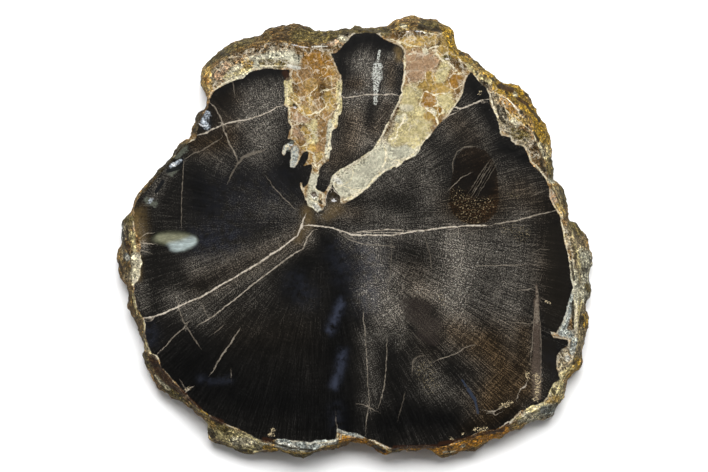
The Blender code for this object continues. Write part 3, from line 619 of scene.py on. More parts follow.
def radii(outline, pixel_size, angles):
    """The outline's distance from the middle of the slice at each angle."""
    curve = rounded(to_plan(outline, pixel_size))
    bearings = np.arctan2(curve[:, 1], curve[:, 0])
    return np.interp(angles, bearings, np.hypot(curve[:, 0], curve[:, 1]), period=math.tau)


def noise_at(points, size, octaves=1):
    """Smooth noise from about -1 to 1 at each point, with lumps of the given size."""
    scales = [(size / 2**octave, 0.5**octave) for octave in range(octaves)]
    values = np.zeros(len(points))
    for lump, weight in scales:
        values += [weight * noise.noise(Vector(point) / lump) for point in points]
    return values


def to_segment(points, start, end):
    """From each point: the offset from the nearest place on a straight segment, and how far along it is."""
    run = np.subtract(end, start, dtype=float)
    length = float(run @ run)
    along = np.clip((points - start) @ run / length, 0, 1) if length else np.zeros(len(points))
    return points - (np.asarray(start) + along[:, None] * run), along


def path_distance(points, path):
    """Each point's distance from an open path."""
    nearest = np.full(len(points), np.inf)
    for start, end in zip(path, path[1:]):
        offset, _ = to_segment(points, start, end)
        nearest = np.minimum(nearest, np.hypot(*offset.T))
    return nearest


def depth_inside(points, outline):
    """Each point's distance from a closed outline, above 0 inside it and below 0 outside."""
    closed = paired(outline + outline[:2])
    inside = np.zeros(len(points), bool)
    for (x0, y0), (x1, y1) in zip(closed, closed[1:]):
        if y0 == y1:
            continue
        crosses = (y0 > points[:, 1]) != (y1 > points[:, 1])
        edge_x = x0 + (points[:, 1] - y0) / (y1 - y0) * (x1 - x0)
        inside ^= crosses & (points[:, 0] < edge_x)
    distance = path_distance(points, closed)
    return np.clip(np.where(inside, distance, -distance), -FAR, FAR)


def glow(points, strokes):
    """Soft strokes joined: 0 away from them, up to each one's strength on its line."""
    dark = np.ones(len(points))
    for strength, reach, *path in strokes:
        dark *= 1 - strength * np.exp(-((path_distance(points, paired(path)) / reach) ** 2))
    return 1 - dark


def stain(points, strokes):
    """Crisp strokes joined: 1 on their lines, 0 at their reach, and lower past it."""
    field = np.full(len(points), STAIN_FLOOR)
    for reach, *path in strokes:
        field = np.maximum(field, 1 - path_distance(points, paired(path)) / reach)
    return field


def line_fields(points, lines):
    """For the nearest line: which side of it and how far, how far alone, half its width, and its strength."""
    side = np.full(len(points), FAR)
    near = np.full(len(points), FAR)
    half = np.zeros(len(points))
    strength = np.zeros(len(points))
    for width, shade, *path in lines:
        path = paired(path)
        lengths = [math.dist(a, b) for a, b in zip(path, path[1:])]
        total, gone = sum(lengths), 0.0
        for start, end, length in zip(path, path[1:], lengths):
            offset, along = to_segment(points, start, end)
            distance = np.hypot(*offset.T)
            closer = distance < near
            run = np.subtract(end, start)
            turn = run[0] * offset[:, 1] - run[1] * offset[:, 0]
            reached = gone + along * length
            taper = np.clip(np.minimum(reached, total - reached) / VEIN_TAPER, 0.15, 1)
            near = np.where(closer, distance, near)
            side = np.where(closer, np.copysign(distance, turn), side)
            half = np.where(closer, width / 2 * taper**0.5, half)
            strength = np.where(closer, shade, strength)
            gone += length
    return np.stack([side, near, half], axis=1), strength


def drawn_fields(points):
    """Everything drawn on the stone, at each point in photograph pixels: name to values."""
    wedges = np.maximum(depth_inside(points, LEFT_WEDGE), depth_inside(points, RIGHT_WEDGE))
    wood = np.minimum(depth_inside(points, WOOD_OUTLINE), -wedges)
    veins, vein_strength = line_fields(points, VEINS)
    seams, seam_strength = line_fields(points, CRYSTAL_SEAMS)
    fields = {
        "wood_depth": wood,
        "wedge_depth": wedges,
        "veins": veins,
        "vein_strength": vein_strength,
        "seams": seams,
        "seam_strength": seam_strength,
        "haze": glow(points, HAZE),
        "black": glow(points, BLACK),
        "rust": glow(points, RUST),
        "blue": glow(points, BLUE),
        "amber": glow(points, AMBER),
        "disc_depth": depth_inside(points, DISC),
        "disc_low_depth": depth_inside(points, DISC_LOW),
        "agate_depth": depth_inside(points, AGATE),
    }
    for name, strokes in STAINS.items():
        fields["stain_" + name] = stain(points, strokes)
    return fields


def rind_grid(shape, face_ring, rind_ring, angles):
    """The rind's points, from the face's edge down to the back, as rows of columns."""
    outward = np.stack([np.cos(angles), np.sin(angles), np.zeros(len(angles))], axis=1)
    down = np.linspace(0, 1, shape.rind_rows + 1)[:, None]
    lean = np.maximum(rind_ring - face_ring, shape.least_lean)
    chip = shape.chip_depth * (0.55 + 0.45 * noise_at(outward * rind_ring[:, None], 0.011))
    swell = np.sin(np.minimum(1, down / shape.widest) * math.pi / 2)
    tuck = np.maximum(0, (down - shape.widest) / (1 - shape.widest)) ** 2
    radius = face_ring + lean * swell - chip * tuck
    grid = radius[:, :, None] * outward
    grid[:, :, 2] = THICKNESS * (1 - down)
    return grid


def roughened(shape, grid):
    """The rind's grid pushed in and out along its own normals, but for its top and bottom rows."""
    across = np.roll(grid, -1, axis=1) - np.roll(grid, 1, axis=1)
    downward = np.gradient(grid, axis=0)
    normals = np.cross(downward, across)
    normals /= np.linalg.norm(normals, axis=2, keepdims=True)
    points = grid.reshape(-1, 3)
    ridges = points * (1, 1, shape.ridge_stretch)
    push = shape.lump_height * noise_at(points, 0.0055, 2)
    push += shape.ridge_height * noise_at(ridges, 0.0022, 2)
    push += shape.grain_height * noise_at(points, 0.0011, 2)
    down = np.linspace(0, 1, len(grid))
    free = np.minimum(1, 14 * down) * np.minimum(1, 10 * (1 - down))
    moved = grid + normals * (push.reshape(grid.shape[:2]) * free[:, None])[:, :, None]
    moved[:, :, 2] = np.clip(moved[:, :, 2], 0, THICKNESS)
    return moved


def filled(ring, spacing):
    """A flat sheet of triangles inside a ring of points: all its points, ring first, and its faces."""
    low, high = ring.min(axis=0), ring.max(axis=0)
    radius = np.hypot(*ring.T)
    bearing = np.arctan2(ring[:, 1], ring[:, 0])
    rows = []
    for index, y in enumerate(np.arange(low[1], high[1], spacing * math.sqrt(3) / 2)):
        x = np.arange(low[0], high[0], spacing) + (index % 2) * spacing / 2
        rows.append(np.stack([x, np.full_like(x, y)], axis=1))
    inner = np.concatenate(rows)
    edge = np.interp(np.arctan2(inner[:, 1], inner[:, 0]), bearing, radius, period=math.tau)
    inner = inner[np.hypot(*inner.T) < edge - spacing * 0.4]
    points = np.concatenate([ring, inner])
    sheet = delaunay_2d_cdt([Vector(p) for p in points], [], [list(range(len(ring)))], 1, 1e-9)
    source = [ids[0] for ids in sheet[3]]
    return points, [[source[corner] for corner in face] for face in sheet[2]]


def sink_pits(points):
    """How far each point of the face is sunk by the pits, in metres."""
    pixels = to_pixels(points)
    sunk = np.zeros(len(points))
    for middle, radius, depth in PITS:
        share = np.clip(np.hypot(*(pixels - middle).T) / radius, 0, 1)
        sunk = np.maximum(sunk, depth * (1 - share**2) ** 1.5)
    return sunk


def strip_uv(column, row, columns, rows):
    """Where a corner of the rind's grid lies in the bake's picture."""
    per_strip = columns / STRIP_COUNT
    strip = np.minimum(column.min(axis=1, keepdims=True) // per_strip, STRIP_COUNT - 1)
    u = 0.006 + 0.988 * (column - strip * per_strip) / per_strip
    v = STRIP_GAP / 2 + strip * (STRIP_HEIGHT + STRIP_GAP) + STRIP_HEIGHT * row / rows
    return np.stack([u, v], axis=-1)


def plan_uv(plan, low, high, place):
    """Where a point seen from above lies in the bake's picture."""
    (u, v), side = place
    return (plan - low) / (high - low).max() * side + (u, v)


def slice_mesh(shape):
    """The whole stone as one closed mesh, with what is drawn on it stored on its points."""
    columns, rows = shape.rind_columns, shape.rind_rows
    angles = np.linspace(-math.pi, math.pi, columns, endpoint=False)
    ring_points = np.stack([np.cos(angles), np.sin(angles), np.zeros(columns)], axis=1) * 0.066
    face_ring = radii(FACE_OUTLINE, FACE_PIXEL, angles)
    face_ring = face_ring + shape.edge_raggedness * noise_at(ring_points, 0.0016, 2)
    rind_ring = radii(RIND_OUTLINE, RIND_PIXEL, angles)
    rind_ring = rind_ring + shape.edge_raggedness * noise_at(ring_points * 1.05, 0.0018, 2)
    grid = roughened(shape, rind_grid(shape, face_ring, rind_ring, angles))

    face_plan, face_faces = filled(grid[0, :, :2], shape.face_spacing)
    back_plan, back_faces = filled(grid[-1, :, :2], shape.back_spacing)
    face_inner, back_inner = face_plan[columns:], back_plan[columns:]
    face_points = np.column_stack([face_inner, THICKNESS - sink_pits(face_inner)])
    back_points = np.column_stack([back_inner, np.zeros(len(back_inner))])
    points = np.concatenate([grid.reshape(-1, 3), face_points, back_points])

    # The face's ring is the grid's first row, and the back's ring its last
    face_start = len(grid) * columns
    back_start = face_start + len(face_points)
    face_ids = np.concatenate([np.arange(columns), face_start + np.arange(len(face_points))])
    back_ids = np.concatenate([rows * columns + np.arange(columns), back_start + np.arange(len(back_points))])
    column = np.arange(columns)[None, :]
    row = np.arange(rows)[:, None]
    corner_columns = np.stack(np.broadcast_arrays(column, column, column + 1, column + 1), axis=-1)
    corner_rows = np.stack(np.broadcast_arrays(row, row + 1, row + 1, row), axis=-1)
    corner_columns, corner_rows = (
        np.broadcast_to(c, (rows, columns, 4)).reshape(-1, 4) for c in (corner_columns, corner_rows)
    )
    quads = corner_rows * columns + corner_columns % columns
    top = face_ids[np.array(face_faces)]
    bottom = back_ids[np.array(back_faces)[:, ::-1]]

    made = bpy.data.meshes.new(PIECE)
    made.from_pydata(points.tolist(), [], quads.tolist() + top.tolist() + bottom.tolist())
    made.polygons.foreach_set(
        "material_index", np.repeat([1, 0, 2], [len(quads), len(top), len(bottom)]).astype(np.int32)
    )
    low, high = grid[0, :, :2].min(axis=0), grid[0, :, :2].max(axis=0)
    back_low, back_high = grid[-1, :, :2].min(axis=0), grid[-1, :, :2].max(axis=0)
    places = np.concatenate([
        strip_uv(corner_columns, corner_rows, columns, rows).reshape(-1, 2),
        plan_uv(points[top.ravel(), :2], low, high, FACE_UV),
        plan_uv(points[bottom.ravel(), :2], back_low, back_high, BACK_UV),
    ])
    made.uv_layers.new(name="OFBake").data.foreach_set("uv", places.astype(np.float32).ravel())
    for name, values in drawn_fields(to_pixels(points[:, :2])).items():
        store(made, name, values)
    made.shade_smooth()
    made.set_sharp_from_angle(angle=SHARP_ANGLE)
    made.validate()
    return made


def store(mesh, name, values):
    """Keeps one value, or one vector, for each of the mesh's points."""
    kind, key = ("FLOAT", "value") if values.ndim == 1 else ("FLOAT_VECTOR", "vector")
    attribute = mesh.attributes.new(name, kind, "POINT")
    attribute.data.foreach_set(key, values.astype(np.float32).ravel())


class Nodes:
    """Adds nodes to one node tree, feeds them and lays them out from left to right."""

    def __init__(self, tree):
        self.tree = tree
        self.rows = {}

    def add(self, kind, inputs=None, **settings):
        """A node with its settings, and its inputs fed with sockets or values."""
        node = self.tree.nodes.new(kind)
        for key, value in settings.items():
            setattr(node, key, value)
        column = 0
        for key, value in (inputs or {}).items():
            self.feed(node.inputs[key], value)
            if isinstance(value, bpy.types.NodeSocket):
                column = max(column, value.node.get("column", 0) + 1)
        node["column"] = column
        self.rows[column] = self.rows.get(column, 0) + 1
        node.location = (column * 220, -170 * self.rows[column])
        return node

    def feed(self, socket, value):
        if isinstance(value, bpy.types.NodeSocket):
            self.tree.links.new(value, socket)
        else:
            socket.default_value = value

    def math(self, operation, *values, clamp=False):
        node = self.add("ShaderNodeMath", dict(enumerate(values)), operation=operation)
        node.use_clamp = clamp
        return node.outputs[0]

    def vector(self, operation, *values):
        node = self.add("ShaderNodeVectorMath", dict(enumerate(values)), operation=operation)
        return node.outputs["Value" if operation in ("LENGTH", "DOT_PRODUCT") else "Vector"]

    def scaled(self, vector, by):
        node = self.add("ShaderNodeVectorMath", {0: vector, 3: by}, operation="SCALE")
        return node.outputs[0]

    def ramp(self, value, low, high, smooth=True):
        """0 at low and 1 at high, whichever is larger."""
        node = self.add(
            "ShaderNodeMapRange",
            {"Value": value, "From Min": low, "From Max": high},
            interpolation_type="SMOOTHSTEP" if smooth else "LINEAR",
        )
        return node.outputs["Result"]

    def mix(self, amount, first, second, blend="MIX"):
        node = self.add("ShaderNodeMix", data_type="RGBA", blend_type=blend)
        for index, value in ((0, amount), (6, first), (7, second)):
            self.feed(node.inputs[index], value)
        return node.outputs[2]

    def noise(self, vector, scale, detail=2.0, roughness=0.5, distortion=0.0):
        node = self.add(
            "ShaderNodeTexNoise",
            {"Vector": vector, "Scale": scale, "Detail": detail, "Roughness": roughness,
             "Distortion": distortion},
        )
        return node.outputs["Fac"]

    def cells(self, vector, scale, feature="F1", randomness=1.0):
        return self.add(
            "ShaderNodeTexVoronoi",
            {"Vector": vector, "Scale": scale, "Randomness": randomness},
            feature=feature,
        )

    def attribute(self, name, output="Fac"):
        return self.add("ShaderNodeAttribute", attribute_name=name).outputs[output]

    def place(self):
        """Where the shaded point is on the stone, in millimetres."""
        position = self.add("ShaderNodeTexCoord").outputs["Object"]
        return self.scaled(position, 1000.0)


def new_group(name, inputs, outputs):
    """An empty shader node group with named sockets, its nodes, its input sockets and its output node."""
    group = bpy.data.node_groups.new(name, "ShaderNodeTree")
    for label, kind, default in inputs:
        socket = group.interface.new_socket(name=label, in_out="INPUT", socket_type="NodeSocket" + kind)
        if default is not None:
            socket.default_value = default
    for label, kind in outputs:
        group.interface.new_socket(name=label, in_out="OUTPUT", socket_type="NodeSocket" + kind)
    nodes = Nodes(group)
    entry = nodes.add("NodeGroupInput").outputs
    return group, nodes, entry, group.nodes.new("NodeGroupOutput")


def pith_noise_group():
    """Noise laid out round the pith: lumps of one width round it, and of one length away from it."""
    group, nodes, entry, out = new_group(
        "Pith Noise",
        [("Position", "Vector", None), ("Width", "Float", 0.4), ("Length", "Float", 4.0)],
        [("Value", "Float"), ("Radius", "Float")],
    )
    pith = to_plan([PITH], FACE_PIXEL)[0] * 1000
    flat = nodes.vector("MULTIPLY", nodes.vector("SUBTRACT", entry["Position"], (*pith, 0)), (1, 1, 0))
    radius = nodes.vector("LENGTH", flat)
    bearing = nodes.vector("NORMALIZE", flat)
    away = nodes.add("ShaderNodeCombineXYZ", {2: nodes.math("DIVIDE", radius, entry["Length"])}).outputs[0]
    total = 0.0
    for index, reach in enumerate(PITH_REACHES):
        share = 1.0
        if index:
            share = nodes.ramp(radius, PITH_REACHES[index - 1], reach)
        if index < len(PITH_REACHES) - 1:
            fade = nodes.ramp(radius, PITH_REACHES[index + 1], reach)
            share = nodes.math("MULTIPLY", share, fade)
        round_it = nodes.scaled(bearing, nodes.math("DIVIDE", reach, entry["Width"]))
        lumps = nodes.noise(nodes.vector("ADD", round_it, away), 1.0, 1.0, 0.6)
        total = nodes.math("MULTIPLY_ADD", nodes.math("SUBTRACT", lumps, 0.5), share, total)
    nodes.feed(out.inputs["Value"], total)
    nodes.feed(out.inputs["Radius"], radius)
    return group


def wood_group(pith_noise):
    """Dark agatised wood: rays, rings and cells of the old tree as pale specks on a dark ground."""
    group, nodes, entry, out = new_group(
        "Agatised Wood",
        [("Position", "Vector", None), ("Haze", "Float", 0.3), ("Black", "Float", 0.0),
         ("Rust", "Float", 0.0), ("Blue", "Float", 0.0), ("Dark Color", "Color", None),
         ("Hazy Color", "Color", None), ("Black Color", "Color", None), ("Blue Color", "Color", None),
         ("Rust Tint", "Color", None), ("Fleck Color", "Color", None), ("Tint", "Color", None)],
        [("Color", "Color")],
    )
    place = entry["Position"]
    shift = nodes.add("ShaderNodeTexNoise", {"Vector": place, "Scale": 0.5, "Detail": 2.0}).outputs["Color"]
    shift = nodes.scaled(nodes.vector("SUBTRACT", shift, (0.5, 0.5, 0.5)), 1.6)
    moved = nodes.vector("ADD", place, shift)
    rays = place_group(nodes, pith_noise, Position=place, Width=0.3, Length=7.0)
    far = nodes.ramp(rays["Radius"], 24.0, 46.0)
    rays = nodes.math("MULTIPLY", rays["Value"], nodes.math("MULTIPLY_ADD", far, 2.5, 5.5))
    streaks = place_group(nodes, pith_noise, Position=place, Width=0.7, Length=8.0)["Value"]
    streaks = nodes.math("MULTIPLY", streaks, nodes.math("MULTIPLY", far, 2.5))
    dashes = place_group(nodes, pith_noise, Position=moved, Width=0.34, Length=0.7)["Value"]
    rings = place_group(nodes, pith_noise, Position=moved, Width=9.0, Length=0.55)["Value"]
    rings = nodes.math("MULTIPLY", rings, nodes.math("MULTIPLY_ADD", entry["Haze"], 4.0, 2.5))
    cells = nodes.math("SUBTRACT", nodes.noise(place, 3.2, 1.0, 0.7), 0.5)
    rough = nodes.math("MULTIPLY_ADD", entry["Haze"], 18.0, 11.0)
    rough = nodes.math("MULTIPLY", rough, nodes.math("MULTIPLY_ADD", entry["Rust"], -0.45, 1.0))
    patches = nodes.math("SUBTRACT", nodes.noise(place, 0.16, 4.0, 0.6), 0.5)
    total = nodes.math("ADD", nodes.math("ADD", rays, rings), streaks)
    total = nodes.math("SUBTRACT", total, nodes.math("MULTIPLY_ADD", entry["Haze"], 0.6, 1.15))
    for value, weight in ((dashes, 4.5), (cells, rough), (patches, 3.5)):
        total = nodes.math("MULTIPLY_ADD", value, weight, total)
    total = nodes.math("MULTIPLY", total, nodes.math("MULTIPLY_ADD", entry["Black"], -0.4, 1.0))
    total = nodes.math("MINIMUM", total, 1.9)
    factor = nodes.math("MULTIPLY_ADD", nodes.math("POWER", 2.0, total), 0.88, 0.22)
    wood = nodes.mix(entry["Haze"], entry["Dark Color"], entry["Hazy Color"])
    wood = nodes.mix(entry["Black"], wood, entry["Black Color"])
    wood = nodes.mix(entry["Rust"], wood, nodes.mix(1.0, wood, entry["Rust Tint"], "MULTIPLY"))
    wood = nodes.mix(1.0, wood, factor, "MULTIPLY")
    misty = nodes.ramp(nodes.noise(place, 0.4, 3.0, 0.6), 0.3, 0.65)
    wood = nodes.mix(nodes.math("MULTIPLY", entry["Blue"], misty), wood, entry["Blue Color"])
    spots = nodes.cells(place, 1.4)
    lit = nodes.ramp(spots.outputs["Distance"], 0.36, 0.14)
    rare = nodes.add("ShaderNodeSeparateXYZ", {0: spots.outputs["Color"]}).outputs[0]
    rare = nodes.math("MULTIPLY_ADD", nodes.math("SUBTRACT", entry["Haze"], entry["Rust"]), 0.6, rare)
    rare = nodes.ramp(rare, 0.95, 1.5)
    wood = nodes.mix(nodes.math("MULTIPLY", lit, rare), wood, entry["Fleck Color"])
    nodes.feed(out.inputs["Color"], nodes.mix(1.0, wood, entry["Tint"], "MULTIPLY"))
    return group


def drawn_line_group():
    """A drawn line's mask, from its stored distances, wandering, swelling and breaking off with noise."""
    group, nodes, entry, out = new_group(
        "Drawn Line",
        [("Position", "Vector", None), ("Distances", "Vector", None), ("Strength", "Float", 1.0),
         ("Raggedness", "Float", 0.6), ("Least", "Float", 0.45)],
        [("Mask", "Float"), ("Glint", "Float")],
    )
    side, near, half = nodes.add("ShaderNodeSeparateXYZ", {0: entry["Distances"]}).outputs
    wide = nodes.math("SUBTRACT", nodes.noise(entry["Position"], 0.35, 1.0, 0.5), 0.5)
    tight = nodes.math("SUBTRACT", nodes.noise(entry["Position"], 1.4, 1.0, 0.6), 0.5)
    wobble = nodes.math("MULTIPLY_ADD", wide, 5.0, nodes.math("MULTIPLY", tight, 4.0))
    side = nodes.math("MULTIPLY_ADD", wobble, entry["Raggedness"], side)
    swell = nodes.math("SUBTRACT", nodes.noise(entry["Position"], 0.8, 2.0, 0.7), 0.5)
    half = nodes.math("MULTIPLY_ADD", nodes.math("MULTIPLY", swell, 3.2), entry["Raggedness"], half)
    edge = nodes.math("SUBTRACT", nodes.math("ABSOLUTE", side), half)
    line = nodes.ramp(edge, 0.28, -0.5)
    guard = nodes.ramp(near, 3.6, 2.6)
    shade = nodes.ramp(nodes.noise(entry["Position"], 0.9, 3.0, 0.7), 0.28, 0.56)
    shown = nodes.math("MULTIPLY_ADD", shade, nodes.math("SUBTRACT", 1.0, entry["Least"]), entry["Least"])
    strength = nodes.math("MULTIPLY", entry["Strength"], shown)
    mask = nodes.math("MULTIPLY", nodes.math("MULTIPLY", line, guard), strength)
    nodes.feed(out.inputs["Mask"], mask)
    nodes.feed(out.inputs["Glint"], nodes.math("MULTIPLY", shade, entry["Strength"]))
    return group


def mineral_group(colours):
    """The coloured quartz of the wedges and the rim: stained crystals, cracks between them, and crust."""
    names = ["Base"] + [name.title() for name in MINERAL_STAINS]
    group, nodes, entry, out = new_group(
        "Mineral Stains",
        [("Position", "Vector", None), ("Raggedness", "Float", 0.5), ("Softness", "Float", 0.34),
         ("Cracks", "Float", 0.6), ("Crust", "Float", 0.0), ("Seam", "Color", (*colours.seam, 1))]
        + [(name, "Color", (*getattr(colours, name.lower()), 1)) for name in names],
        [("Color", "Color"), ("Push", "Float"), ("Calm", "Float")],
    )
    place = entry["Position"]
    bent = nodes.add("ShaderNodeTexNoise", {"Vector": place, "Scale": 0.45, "Detail": 3.0}).outputs["Color"]
    bent = nodes.vector("ADD", place, nodes.scaled(nodes.vector("SUBTRACT", bent, (0.5, 0.5, 0.5)), 4.0))
    lumps = nodes.cells(bent, 0.24).outputs["Color"]
    lump = nodes.add("ShaderNodeSeparateXYZ", {0: lumps}).outputs
    wobble = nodes.math("SUBTRACT", nodes.noise(place, 0.75, 4.0, 0.65), 0.5)
    wobble = nodes.math("MULTIPLY", wobble, 1.2)
    push = nodes.math("MULTIPLY_ADD", nodes.math("SUBTRACT", lump[0], 0.5), 0.6, wobble)
    push = nodes.math("MULTIPLY", push, entry["Raggedness"])
    nodes.feed(out.inputs["Push"], push)
    calm = nodes.ramp(nodes.math("ADD", nodes.attribute("stain_calm"), push), -0.1, 0.5)
    nodes.feed(out.inputs["Calm"], calm)
    low = nodes.math("MULTIPLY", entry["Softness"], -1.0)
    warm = nodes.math("MULTIPLY", nodes.ramp(lump[1], 0.55, 1.0), 0.5)
    colour = nodes.mix(warm, entry["Base"], entry["Honey"])
    cold = nodes.math("MULTIPLY", nodes.ramp(lump[2], 0.6, 1.0), 0.3)
    colour = nodes.mix(cold, colour, entry["Pink"])
    for name in names[1:]:
        field = nodes.math("ADD", nodes.attribute("stain_" + name.lower()), push)
        colour = nodes.mix(nodes.ramp(field, low, entry["Softness"]), colour, entry[name])

    # Crystals and grains, lighter and darker than each other
    crystals = nodes.cells(bent, 1.2).outputs["Color"]
    crystal = nodes.math("SUBTRACT", nodes.add("ShaderNodeSeparateXYZ", {0: crystals}).outputs[0], 0.5)
    grits = nodes.cells(place, 2.3).outputs["Color"]
    grit = nodes.math("SUBTRACT", nodes.add("ShaderNodeSeparateXYZ", {0: grits}).outputs[0], 0.5)
    fine = nodes.math("SUBTRACT", nodes.noise(place, 1.5, 3.0, 0.75), 0.5)
    salt = nodes.math("SUBTRACT", nodes.noise(place, 2.2, 2.0, 0.7), 0.5)
    grains = nodes.math("MULTIPLY_ADD", nodes.math("SUBTRACT", lump[0], 0.5), 0.6, -0.15)
    grains = nodes.math("MULTIPLY_ADD", crystal, 0.9, grains)
    grains = nodes.math("MULTIPLY_ADD", fine, 4.0, grains)
    grains = nodes.math("MULTIPLY", grains, nodes.math("MULTIPLY_ADD", calm, -0.35, 1.0))

    # The crust's layers lie along the wood's edge
    across = nodes.math("MULTIPLY", nodes.attribute("wood_depth"), FACE_PIXEL * 1000 * 1.7)
    flat = nodes.vector("MULTIPLY", place, (0.28, 0.28, 1.2))
    layers = nodes.vector("ADD", flat, nodes.add("ShaderNodeCombineXYZ", {2: across}).outputs[0])
    layer = nodes.math("SUBTRACT", nodes.noise(layers, 1.0, 2.0, 0.6), 0.5)
    rough = nodes.math("MULTIPLY_ADD", layer, 2.8, nodes.math("MULTIPLY_ADD", salt, 5.0, -0.45))
    rough = nodes.math("MULTIPLY_ADD", grit, 1.7, rough)
    lit = nodes.math("MULTIPLY_ADD", grit, 0.4, nodes.math("MULTIPLY", crystal, 0.3))
    lit = nodes.math("MULTIPLY_ADD", layer, 0.6, lit)
    bright = nodes.ramp(lit, 0.12, 0.22)
    rough = nodes.math("MULTIPLY_ADD", bright, 0.5, rough)
    grains = nodes.math("MULTIPLY_ADD", rough, entry["Crust"], grains)
    colour = nodes.mix(1.0, colour, nodes.math("POWER", 2.0, grains), "MULTIPLY")
    bright = nodes.math("MULTIPLY", nodes.math("MULTIPLY", bright, 0.35), entry["Crust"])
    pale = nodes.mix(0.7, entry["Seam"], nodes.mix(1.0, colour, LIGHTER, "MULTIPLY"))
    colour = nodes.mix(bright, colour, pale)
    hollow = nodes.ramp(lit, -0.14, -0.24)
    hollow = nodes.math("MULTIPLY", nodes.math("MULTIPLY", hollow, 0.75), entry["Crust"])
    colour = nodes.mix(hollow, colour, nodes.mix(1.0, colour, DARKER, "MULTIPLY"))

    split = nodes.cells(bent, 0.24, "DISTANCE_TO_EDGE").outputs["Distance"]
    thin = nodes.cells(bent, 0.7, "DISTANCE_TO_EDGE").outputs["Distance"]
    shown = nodes.ramp(nodes.noise(place, 0.35, 3.0, 0.6), 0.38, 0.52)
    crack = nodes.math("MAXIMUM", nodes.ramp(split, 0.05, 0.01),
                       nodes.math("MULTIPLY", nodes.ramp(thin, 0.1, 0.03), 0.35))
    shown = nodes.math("MULTIPLY", shown, nodes.math("MULTIPLY_ADD", calm, -0.55, 1.0))
    crack = nodes.math("MULTIPLY", nodes.math("MULTIPLY", crack, shown), entry["Cracks"])
    nodes.feed(out.inputs["Color"], nodes.mix(crack, colour, entry["Seam"]))
    return group


def pepper_group():
    """Black and white specks strewn over a colour."""
    group, nodes, entry, out = new_group(
        "Pepper",
        [("Color", "Color", None), ("Position", "Vector", None), ("Amount", "Float", 1.0),
         ("Light", "Color", None), ("Dark", "Color", None)],
        [("Color", "Color")],
    )
    salt = nodes.noise(entry["Position"], 1.7, 3.0, 0.8)
    white = nodes.math("MULTIPLY", nodes.ramp(salt, 0.54, 0.61), 0.75)
    white = nodes.math("MULTIPLY", white, entry["Amount"])
    black = nodes.math("MULTIPLY", nodes.ramp(salt, 0.46, 0.39), 0.85)
    black = nodes.math("MULTIPLY", black, entry["Amount"])
    light = nodes.mix(0.7, entry["Light"], nodes.mix(1.0, entry["Color"], LIGHTER, "MULTIPLY"))
    dark = nodes.mix(0.5, entry["Dark"], nodes.mix(1.0, entry["Color"], DARKER, "MULTIPLY"))
    colour = nodes.mix(black, nodes.mix(white, entry["Color"], light), dark)
    nodes.feed(out.inputs["Color"], colour)
    return group


def place_group(nodes, group, **inputs):
    """Puts a group among the nodes with its own values."""
    node = nodes.add("ShaderNodeGroup", node_tree=group)
    for name, value in inputs.items():
        nodes.feed(node.inputs[name.replace("_", " ")], value)
    return node.outputs


def new_material(name, roughness):
    material = bpy.data.materials.new(name)
    material.use_nodes = True
    nodes = Nodes(material.node_tree)
    shader = material.node_tree.nodes["Principled BSDF"]
    shader.inputs["Roughness"].default_value = roughness
    return material, nodes, shader


def mineral_colour(nodes, place, groups, colours, crust, light, **settings):
    """The colour of the quartz and the crust, with the cream lines, holes and specks in them."""
    mineral = place_group(
        nodes, groups["mineral"], Position=place, Crust=crust, Seam=(*light, 1), **settings
    )
    seams = place_group(
        nodes, groups["line"], Position=place, Distances=nodes.attribute("seams", "Vector"),
        Strength=nodes.attribute("seam_strength"), Raggedness=0.7, Least=0.7,
    )
    seam = nodes.mix(seams["Glint"], (*colours.pale, 1), (*light, 1))
    speck = nodes.math("SUBTRACT", nodes.noise(place, 1.7, 2.0, 0.7), 0.5)
    speck = nodes.math("POWER", 2.0, nodes.math("MULTIPLY_ADD", speck, 5.0, 0.25))
    seam = nodes.mix(1.0, seam, nodes.math("MINIMUM", speck, 1.3), "MULTIPLY")
    shown = nodes.math("MINIMUM", nodes.math("MULTIPLY", seams["Mask"], 1.4), 1.0)
    colour = nodes.mix(shown, mineral["Color"], seam)
    for name in HOLES:
        field = nodes.math("ADD", nodes.attribute("stain_" + name), mineral["Push"])
        hole = nodes.math("MULTIPLY", nodes.ramp(field, -0.15, 0.3), 0.9)
        colour = nodes.mix(hole, colour, (*getattr(colours, name), 1))
    crumbly = nodes.math("MULTIPLY_ADD", speck, 0.15, nodes.attribute("stain_pepper"))
    crumbly = nodes.ramp(crumbly, -0.1, 0.5)
    crumbly = nodes.math("MAXIMUM", crumbly, nodes.math("MULTIPLY_ADD", crust, 0.2, 0.3))
    crumbly = nodes.math("MULTIPLY", crumbly, nodes.math("MULTIPLY_ADD", mineral["Calm"], -0.8, 1.0))
    return place_group(
        nodes, groups["pepper"], Color=colour, Position=place, Amount=crumbly,
        Light=(*light, 1), Dark=(*colours.dark, 1),
    )["Color"]


